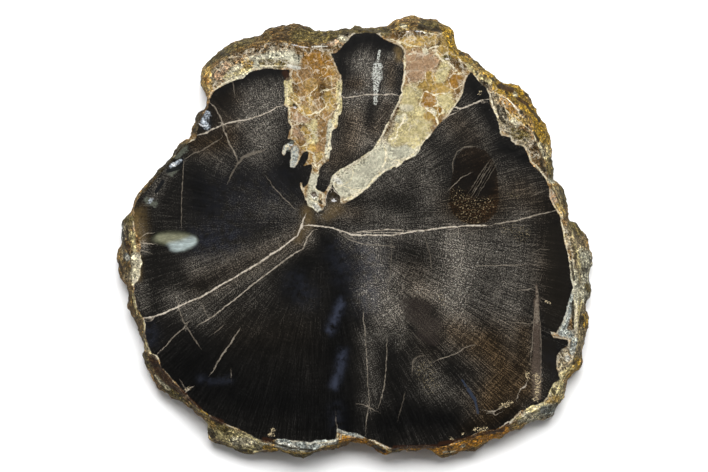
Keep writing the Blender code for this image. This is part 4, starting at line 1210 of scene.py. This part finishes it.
def cut_stone_colour(nodes, place, groups, colours):
    """The colour of the cut stone: dark wood and pale mineral, with the veins and seams in them."""
    speckle = nodes.noise(place, 1.3, 3.0, 0.75)
    ragged = nodes.math("MULTIPLY", nodes.math("SUBTRACT", speckle, 0.5), 2.0)
    disc = nodes.ramp(nodes.math("ADD", nodes.attribute("disc_depth"), ragged), -0.4, 0.5)
    lower = nodes.ramp(nodes.math("ADD", nodes.attribute("disc_low_depth"), ragged), -0.6, 0.8)
    tint = nodes.mix(lower, (*colours.disc, 1), (*colours.disc_low, 1))
    tint = nodes.mix(disc, (1, 1, 1, 1), tint)
    gritty = nodes.math("POWER", 2.0, nodes.math("MULTIPLY_ADD", ragged, 1.5, -0.1))
    tint = nodes.mix(nodes.math("MULTIPLY", lower, disc), tint, nodes.mix(1.0, tint, gritty, "MULTIPLY"))
    wood = place_group(
        nodes, groups["wood"], Position=place, Haze=nodes.attribute("haze"),
        Black=nodes.attribute("black"), Rust=nodes.attribute("rust"), Blue=nodes.attribute("blue"),
        Dark_Color=(*colours.wood_dark, 1), Hazy_Color=(*colours.wood_hazy, 1),
        Black_Color=(*colours.wood_black, 1), Blue_Color=(*colours.wood_blue, 1),
        Rust_Tint=(*colours.rust_tint, 1), Fleck_Color=(*colours.fleck, 1), Tint=tint,
    )["Color"]
    amber = nodes.mix(1.0, (*colours.amber, 1), nodes.math("MULTIPLY_ADD", ragged, 1.6, 1.0), "MULTIPLY")
    wood = nodes.mix(nodes.attribute("amber"), wood, amber)

    # The agate eye is clear at its edge and left end, and milky where fibres of it are bluish white
    depth = nodes.math("MULTIPLY_ADD", ragged, 0.8, nodes.attribute("agate_depth"))
    milk = nodes.mix(nodes.ramp(depth, 0.0, 5.0), (*colours.agate_edge, 1), (*colours.agate, 1))
    blue = nodes.attribute("stain_milk")
    milk = nodes.mix(nodes.ramp(blue, -0.1, 0.7), milk, (*colours.agate_blue, 1))
    fibres = nodes.noise(nodes.vector("MULTIPLY", place, (0.45, 1.3, 1.0)), 1.0, 3.0, 0.65)
    fibres = nodes.math("MULTIPLY", nodes.math("SUBTRACT", fibres, 0.47), 3.0)
    milk = nodes.mix(1.0, milk, nodes.math("POWER", 2.0, fibres), "MULTIPLY")
    fade = nodes.ramp(nodes.attribute("stain_fade"), -0.1, 0.7)
    eye = nodes.math("MULTIPLY", nodes.ramp(depth, -2.0, 3.5), nodes.math("MULTIPLY_ADD", fade, -0.7, 1.0))
    wood = nodes.mix(eye, wood, milk)
    dust = nodes.noise(place, 2.0, 2.0, 0.75)
    for name, amount, frayed, spotty, rare in WOOD_STAINS:
        field = nodes.math("MULTIPLY_ADD", ragged, frayed, nodes.attribute("stain_" + name))
        mask = nodes.math("MULTIPLY", nodes.ramp(field, -0.1, 0.4), amount)
        spots = nodes.math("MULTIPLY_ADD", nodes.ramp(dust, rare, rare + 0.1), spotty, 1 - spotty)
        wood = nodes.mix(nodes.math("MULTIPLY", mask, spots), wood, (*getattr(colours, name), 1))

    veins = place_group(
        nodes, groups["line"], Position=place, Distances=nodes.attribute("veins", "Vector"),
        Strength=nodes.attribute("vein_strength"), Raggedness=0.4,
    )
    vein = nodes.mix(veins["Glint"], (*colours.vein_edge, 1), (*colours.vein, 1))
    wood = nodes.mix(veins["Mask"], wood, vein)

    crust = nodes.ramp(nodes.attribute("wedge_depth"), 0.0, -4.0)
    mineral = mineral_colour(nodes, place, groups, colours, crust, colours.seam)
    ragged = nodes.math("SUBTRACT", nodes.noise(place, 0.8, 3.0, 0.65), 0.5)
    depth = nodes.math("MULTIPLY_ADD", ragged, 3.0, nodes.attribute("wood_depth"))
    rim = nodes.ramp(nodes.math("ABSOLUTE", nodes.math("ADD", depth, 1.0)), 1.2, 0.3)
    shown = nodes.ramp(nodes.noise(place, 0.3, 3.0, 0.65), 0.42, 0.6)
    rim = nodes.math("MULTIPLY", rim, nodes.math("MULTIPLY", shown, 0.5))
    for name in HOLES:
        rim = nodes.math("MULTIPLY", rim, nodes.ramp(nodes.attribute("stain_" + name), 0.0, -0.8))
    mineral = nodes.mix(rim, mineral, (*colours.seam, 1))
    return nodes.mix(nodes.ramp(depth, -0.4, 0.4), mineral, wood)


def polished_material(colours, groups):
    material, nodes, shader = new_material("polished_face", colours.polish)
    place = nodes.place()
    nodes.feed(shader.inputs["Base Color"], cut_stone_colour(nodes, place, groups, colours))
    return material


def rind_material(colours, groups):
    material, nodes, shader = new_material("natural_rind", 0.7)
    shader.inputs["Specular IOR Level"].default_value = 0.12
    place = nodes.place()
    mineral = mineral_colour(
        nodes, place, groups, colours, 1.0, colours.crust_light, Raggedness=0.7, Softness=0.4, Cracks=0.2
    )
    grains = nodes.cells(place, 0.75).outputs["Distance"]
    crust = nodes.noise(place, 0.5, 5.0, 0.75)
    height = nodes.math("MULTIPLY_ADD", grains, -0.35, crust)
    relief = nodes.math("SUBTRACT", height, 0.36)
    # Painted light and shade: the colour is lightened on the rind's raised grains and darkened in its hollows
    # (up to twice as light), and darkened a little towards the back, standing in for how light falls on them.
    down = nodes.add("ShaderNodeSeparateXYZ", {0: place}).outputs[2]
    down = nodes.ramp(down, THICKNESS * 1000, THICKNESS * 400, smooth=False)
    power = nodes.math("MULTIPLY_ADD", relief, 4.0, nodes.math("MULTIPLY_ADD", down, -0.3, 0.25))
    shade = nodes.math("MINIMUM", nodes.math("POWER", 2.0, power), 2.0)
    colour = nodes.mix(1.0, mineral, shade, "MULTIPLY")
    # Painted shade: a dark colour laid into the low places of the same height that makes the bump, where the
    # shade between the grains falls.
    painted_crevice_shade = nodes.ramp(relief, -0.06, -0.2)
    colour = nodes.mix(nodes.math("MULTIPLY", painted_crevice_shade, 0.5), colour, (*colours.painted_crevice_shade, 1))
    bump = nodes.add("ShaderNodeBump", {"Height": height, "Strength": 0.9, "Distance": 0.0012})
    nodes.feed(shader.inputs["Base Color"], colour)
    nodes.feed(shader.inputs["Normal"], bump.outputs["Normal"])
    nodes.feed(shader.inputs["Roughness"], nodes.math("MULTIPLY_ADD", crust, 0.4, 0.5))
    return material


def back_material(colours, groups):
    material, nodes, shader = new_material("sawn_back", 0.6)
    place = nodes.place()
    colour = cut_stone_colour(nodes, place, groups, colours)
    marks = nodes.noise(nodes.vector("MULTIPLY", place, (0.03, 1.0, 0.0)), 1.6, 2.0)
    dusty = nodes.mix(0.16, colour, (*colours.saw_dust, 1))
    shade = nodes.math("MULTIPLY_ADD", marks, 0.5, 0.75)
    nodes.feed(shader.inputs["Base Color"], nodes.mix(1.0, dusty, shade, "MULTIPLY"))
    bump = nodes.add("ShaderNodeBump", {"Height": marks, "Strength": 0.3, "Distance": 0.0003})
    nodes.feed(shader.inputs["Normal"], bump.outputs["Normal"])
    return material


def linear(red, green, blue):
    """The shader's linear colour for one given as it shows in the studio's light, 0 to 255."""
    return tuple(
        (value / 12.92 if value <= 0.04045 else ((value + 0.055) / 1.055) ** 2.4) / STUDIO_LIGHT
        for value in (red / 255, green / 255, blue / 255)
    )


def size_property(name, description, default):
    return bpy.props.FloatProperty(
        name=name, description=description, default=default, min=0, subtype="DISTANCE", unit="LENGTH",
        precision=5,
    )


def colour_property(name, description, shown):
    return bpy.props.FloatVectorProperty(
        name=name, description=description, default=linear(*shown), subtype="COLOR", size=3, min=0, max=1,
    )


class SliceShape(bpy.types.PropertyGroup):
    """Sizes of the stone's surface."""

    face_spacing: size_property("Face Detail", "Distance between points on the polished face", 0.00053)
    back_spacing: size_property("Back Detail", "Distance between points on the sawn back", 0.0013)
    rind_columns: bpy.props.IntProperty(
        name="Rind Columns", description="Upright strips of faces round the rind", default=880, min=60
    )
    rind_rows: bpy.props.IntProperty(
        name="Rind Rows", description="Rows of faces down the rind", default=32, min=8
    )
    edge_raggedness: size_property("Edge Raggedness", "Unevenness of the face's and rind's edges", 0.0002)
    least_lean: size_property("Least Lean", "The rind leans out at least this far", 0.0004)
    chip_depth: size_property("Undercut", "How far the rind tucks in above the back", 0.0016)
    widest: bpy.props.FloatProperty(
        name="Widest At", description="How far down the rind is widest, as a share of the thickness",
        default=0.67, min=0.2, max=0.9, subtype="FACTOR",
    )
    lump_height: size_property("Lumps", "Height of the rind's large lumps", 0.0006)
    ridge_height: size_property("Ridges", "Height of the rind's upright ridges", 0.00035)
    ridge_stretch: bpy.props.FloatProperty(
        name="Ridge Stretch", description="Squeeze of the ridges' noise along the height",
        default=0.3, min=0.05, max=1,
    )
    grain_height: size_property("Grains", "Height of the rind's coarse grains", 0.0003)


class SliceColours(bpy.types.PropertyGroup):
    """Colours of the stone."""

    wood_dark: colour_property("Dark Wood", "The wood's usual colour", (36, 34, 31))
    wood_hazy: colour_property("Hazy Wood", "The wood where it is greyest", (106, 101, 93))
    wood_black: colour_property("Black Wood", "The wood where it is darkest", (12, 12, 12))
    wood_blue: colour_property("Blue Agate", "Bluish patches in the wood", (60, 65, 80))
    rust_tint: colour_property("Rust Tint", "What the brown wood is multiplied by", (255, 222, 180))
    fleck: colour_property("Flecks", "Small pale flecks in the wood", (184, 180, 170))
    vein: colour_property("Veins", "Pale veins in the wood", (226, 214, 196))
    vein_edge: colour_property("Faint Veins", "The veins where they fade", (166, 152, 132))
    seam: colour_property("Crystal Seams", "Cream seams between crystals", (236, 226, 202))
    base: colour_property("Tan Quartz", "The wedges and rind where nothing stains them", (139, 106, 60))
    ash: colour_property("Ash Stain", "Greyish brown stains", (130, 116, 90))
    grey: colour_property("Grey Stain", "Pale greenish grey stains", (196, 193, 170))
    pale: colour_property("Pale Stain", "Pale yellow stains", (202, 188, 136))
    brown: colour_property("Brown Stain", "Brown stains", (94, 69, 32))
    olive: colour_property("Olive Stain", "Dark olive stains", (90, 77, 36))
    pink: colour_property("Pink Stain", "Pinkish tan stains", (168, 136, 104))
    honey: colour_property("Honey Stain", "Honey coloured stains", (176, 144, 76))
    gold: colour_property("Gold Stain", "Strong golden stains", (170, 134, 34))
    orange: colour_property("Orange Stain", "Orange stains", (158, 114, 46))
    ochre: colour_property("Ochre Stain", "Yellow-brown stains of the lower rim", (198, 134, 12))
    cream: colour_property("Cream Stain", "Cream stains", (214, 205, 174))
    chalcedony: colour_property("Chalcedony", "Bluish grey parts of the rim", (148, 154, 150))
    white: colour_property("White Quartz", "White quartz", (212, 210, 198))
    rot: colour_property("Red Brown", "Reddish brown hollows", (56, 33, 20))
    crust_light: colour_property("Crust Light", "Pale grains of the rind", (222, 206, 150))
    dark: colour_property("Dark Quartz", "Dark glassy quartz, pits and gaps", (40, 34, 22))
    agate: colour_property("Agate", "The pale agate eye", (130, 130, 106))
    agate_blue: colour_property("Blue Milk", "The bluish white part of the agate eye", (166, 178, 176))
    agate_edge: colour_property("Agate Edge", "The edge of the agate eye", (66, 68, 52))
    disc: colour_property("Disc", "What the wood in the disc is multiplied by", (246, 224, 204))
    disc_low: colour_property("Disc Foot", "The same for its lower part", (262, 230, 196))
    amber: colour_property("Amber", "Amber brown stains in the wood", (112, 92, 56))
    pocket: colour_property("Pocket", "Black glassy pockets at the wood's edge", (22, 24, 26))
    # Painted highlight: the colour of the glints of light in the pockets
    painted_glint: colour_property("Sparkle", "Glints in the pockets", (205, 214, 224))
    glass: colour_property("Glass", "Greenish grey glassy stone at the wood's edge", (108, 112, 100))
    azure: colour_property("Azure", "The narrow blue lens low in the wood", (52, 62, 80))
    lens: colour_property("Dark Lens", "The dark lens in the haze", (54, 47, 43))
    soot: colour_property("Soot", "Black parts of the disc", (20, 17, 14))
    gilt: colour_property("Gilt", "Pale gold dust in the wood", (184, 168, 132))
    streak: colour_property("Streak", "The pinkish brown streak", (112, 96, 84))
    feather: colour_property("Feather", "The white speckled feather", (215, 217, 208))
    crumbs: colour_property("Crumbs", "Cream crumbs in the wood", (220, 200, 160))
    dusk: colour_property("Dusk", "The dark olive band inside the rim", (30, 27, 22))
    # Painted shade: the dark colour laid into the rind's low places, where the shade between its grains
    # falls.
    painted_crevice_shade: colour_property("Crevices", "Dark gaps between the rind's grains", (52, 40, 22))
    saw_dust: colour_property("Saw Bloom", "Pale bloom on the unpolished back", (150, 144, 132))
    polish: bpy.props.FloatProperty(
        name="Polish", description="Roughness of the polished face", default=0.16, min=0, max=1,
        subtype="FACTOR",
    )


class StudioLook(bpy.types.PropertyGroup):
    """Sizes, powers and colours of the studio."""

    floor_colour: bpy.props.FloatVectorProperty(
        name="Floor", description="Colour of the floor", default=(0.96, 0.96, 0.96), subtype="COLOR",
        size=3, min=0, max=1,
    )
    floor_size: size_property("Floor Size", "Side of the floor", 6.0)
    key_power: bpy.props.FloatProperty(
        name="Key Light", description="Power of the large soft light", default=28.5, min=0,
        subtype="POWER", unit="POWER",
    )
    fill_power: bpy.props.FloatProperty(
        name="Fill Lights", description="Power of each side light", default=2.0, min=0,
        subtype="POWER", unit="POWER",
    )
    camera_height: size_property("Camera Height", "Height of the camera over the face", 1.2)


class PETRIFIED_OT_slice(bpy.types.Operator):
    """Build the polished slice in place of its plain solid"""

    bl_idname = "petrified.build_slice"
    bl_label = "Build Slice"

    def execute(self, context):
        colours = context.scene.slice_colours
        groups = {
            "wood": wood_group(pith_noise_group()),
            "line": drawn_line_group(),
            "mineral": mineral_group(colours),
            "pepper": pepper_group(),
        }
        stone = bpy.data.objects.new(PIECE, slice_mesh(context.scene.slice_shape))
        context.scene.collection.objects.link(stone)
        for make in (polished_material, rind_material, back_material):
            stone.data.materials.append(make(colours, groups))
        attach(stone, BODY)
        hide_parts(NODE)
        return {"FINISHED"}


def soft_light(name, place, size, power):
    """A rectangular area light aimed at the slice, its size given as width and height."""
    lamp = bpy.data.lights.new(name, "AREA")
    lamp.shape = "RECTANGLE"
    lamp.size, lamp.size_y = size
    lamp.energy = power
    light = bpy.data.objects.new(name, lamp)
    light.location = place
    light.rotation_mode = "QUATERNION"
    light.rotation_quaternion = (-Vector(place)).to_track_quat("-Z", "Y")
    bpy.context.scene.collection.objects.link(light)
    return light


def studio_floor(look):
    half = look.floor_size / 2
    corners = [(-half, -half, 0), (half, -half, 0), (half, half, 0), (-half, half, 0)]
    mesh = bpy.data.meshes.new("floor")
    mesh.from_pydata(corners, [], [(0, 1, 2, 3)])
    floor = bpy.data.objects.new("floor", mesh)
    bpy.context.scene.collection.objects.link(floor)
    material, nodes, shader = new_material("floor_paint", 0.9)
    tone = nodes.noise(nodes.place(), 0.004, 2.0)
    paper = nodes.mix(nodes.math("MULTIPLY", tone, 0.04), (*look.floor_colour, 1), (0.8, 0.8, 0.8, 1))
    nodes.feed(shader.inputs["Base Color"], paper)
    shader.inputs["Specular IOR Level"].default_value = 0.1
    mesh.materials.append(material)


def studio_world():
    """Pale all round and dim overhead, so that the polished face stays dark from above."""
    world = bpy.data.worlds.new("studio")
    bpy.context.scene.world = world
    world.use_nodes = True
    nodes = Nodes(world.node_tree)
    background = world.node_tree.nodes["Background"]
    direction = nodes.add("ShaderNodeTexCoord").outputs["Generated"]
    height = nodes.add("ShaderNodeSeparateXYZ", {0: direction}).outputs[2]
    colour = nodes.mix(nodes.ramp(height, 0.35, 0.85), (0.95, 0.95, 0.95, 1), (0.05, 0.05, 0.05, 1))
    nodes.feed(background.inputs["Color"], colour)
    background.inputs["Strength"].default_value = 0.3


def studio_camera(look):
    """Straight above the face, with the photograph's scale there."""
    camera = bpy.data.cameras.new("camera")
    camera.sensor_width = 36.0
    camera.lens = camera.sensor_width * look.camera_height / (PHOTO_SIZE[0] * FACE_PIXEL)
    holder = bpy.data.objects.new("camera", camera)
    centre = to_plan([(PHOTO_SIZE[0] / 2, PHOTO_SIZE[1] / 2)], FACE_PIXEL)[0]
    holder.location = (*centre, THICKNESS + look.camera_height)
    bpy.context.scene.collection.objects.link(holder)
    bpy.context.scene.camera = holder


class PETRIFIED_OT_studio(bpy.types.Operator):
    """Build the floor, the lights and the camera"""

    bl_idname = "petrified.build_studio"
    bl_label = "Build Studio"

    def execute(self, context):
        look = context.scene.studio_look
        studio_floor(look)
        studio_world()
        studio_camera(look)
        soft_light("key", (0.05, 0.63, 1.08), (1.0, 0.62), look.key_power)
        soft_light("fill_left", (-0.95, 0.1, 0.8), (0.7, 0.7), look.fill_power)
        soft_light("fill_right", (0.95, 0.1, 0.8), (0.7, 0.7), look.fill_power)
        context.scene.view_settings.view_transform = "Standard"
        return {"FINISHED"}


class PETRIFIED_PT_panel(bpy.types.Panel):
    """Lists what can be built, and its sizes and colours"""

    bl_idname = "PETRIFIED_PT_panel"
    bl_label = "Petrified Wood"
    bl_space_type = "VIEW_3D"
    bl_region_type = "UI"
    bl_category = "Petrified Wood"

    def draw(self, context):
        scene = context.scene
        for operator, settings in (
            (PETRIFIED_OT_slice, (scene.slice_shape, scene.slice_colours)),
            (PETRIFIED_OT_studio, (scene.studio_look,)),
        ):
            self.layout.operator(operator.bl_idname)
            column = self.layout.column()
            for group in settings:
                for name in group.__annotations__:
                    column.prop(group, name)


CLASSES = (
    SliceShape, SliceColours, StudioLook, PETRIFIED_OT_slice, PETRIFIED_OT_studio, PETRIFIED_PT_panel,
)


def register():
    for item in CLASSES:
        bpy.utils.register_class(item)
    bpy.types.Scene.slice_shape = bpy.props.PointerProperty(type=SliceShape)
    bpy.types.Scene.slice_colours = bpy.props.PointerProperty(type=SliceColours)
    bpy.types.Scene.studio_look = bpy.props.PointerProperty(type=StudioLook)


def unregister():
    for name in ("slice_shape", "slice_colours", "studio_look"):
        delattr(bpy.types.Scene, name)
    for item in reversed(CLASSES):
        bpy.utils.unregister_class(item)


def main():
    register()
    bpy.ops.petrified.build_slice()
    bpy.ops.petrified.build_studio()


if __name__ == "__main__":
    main()
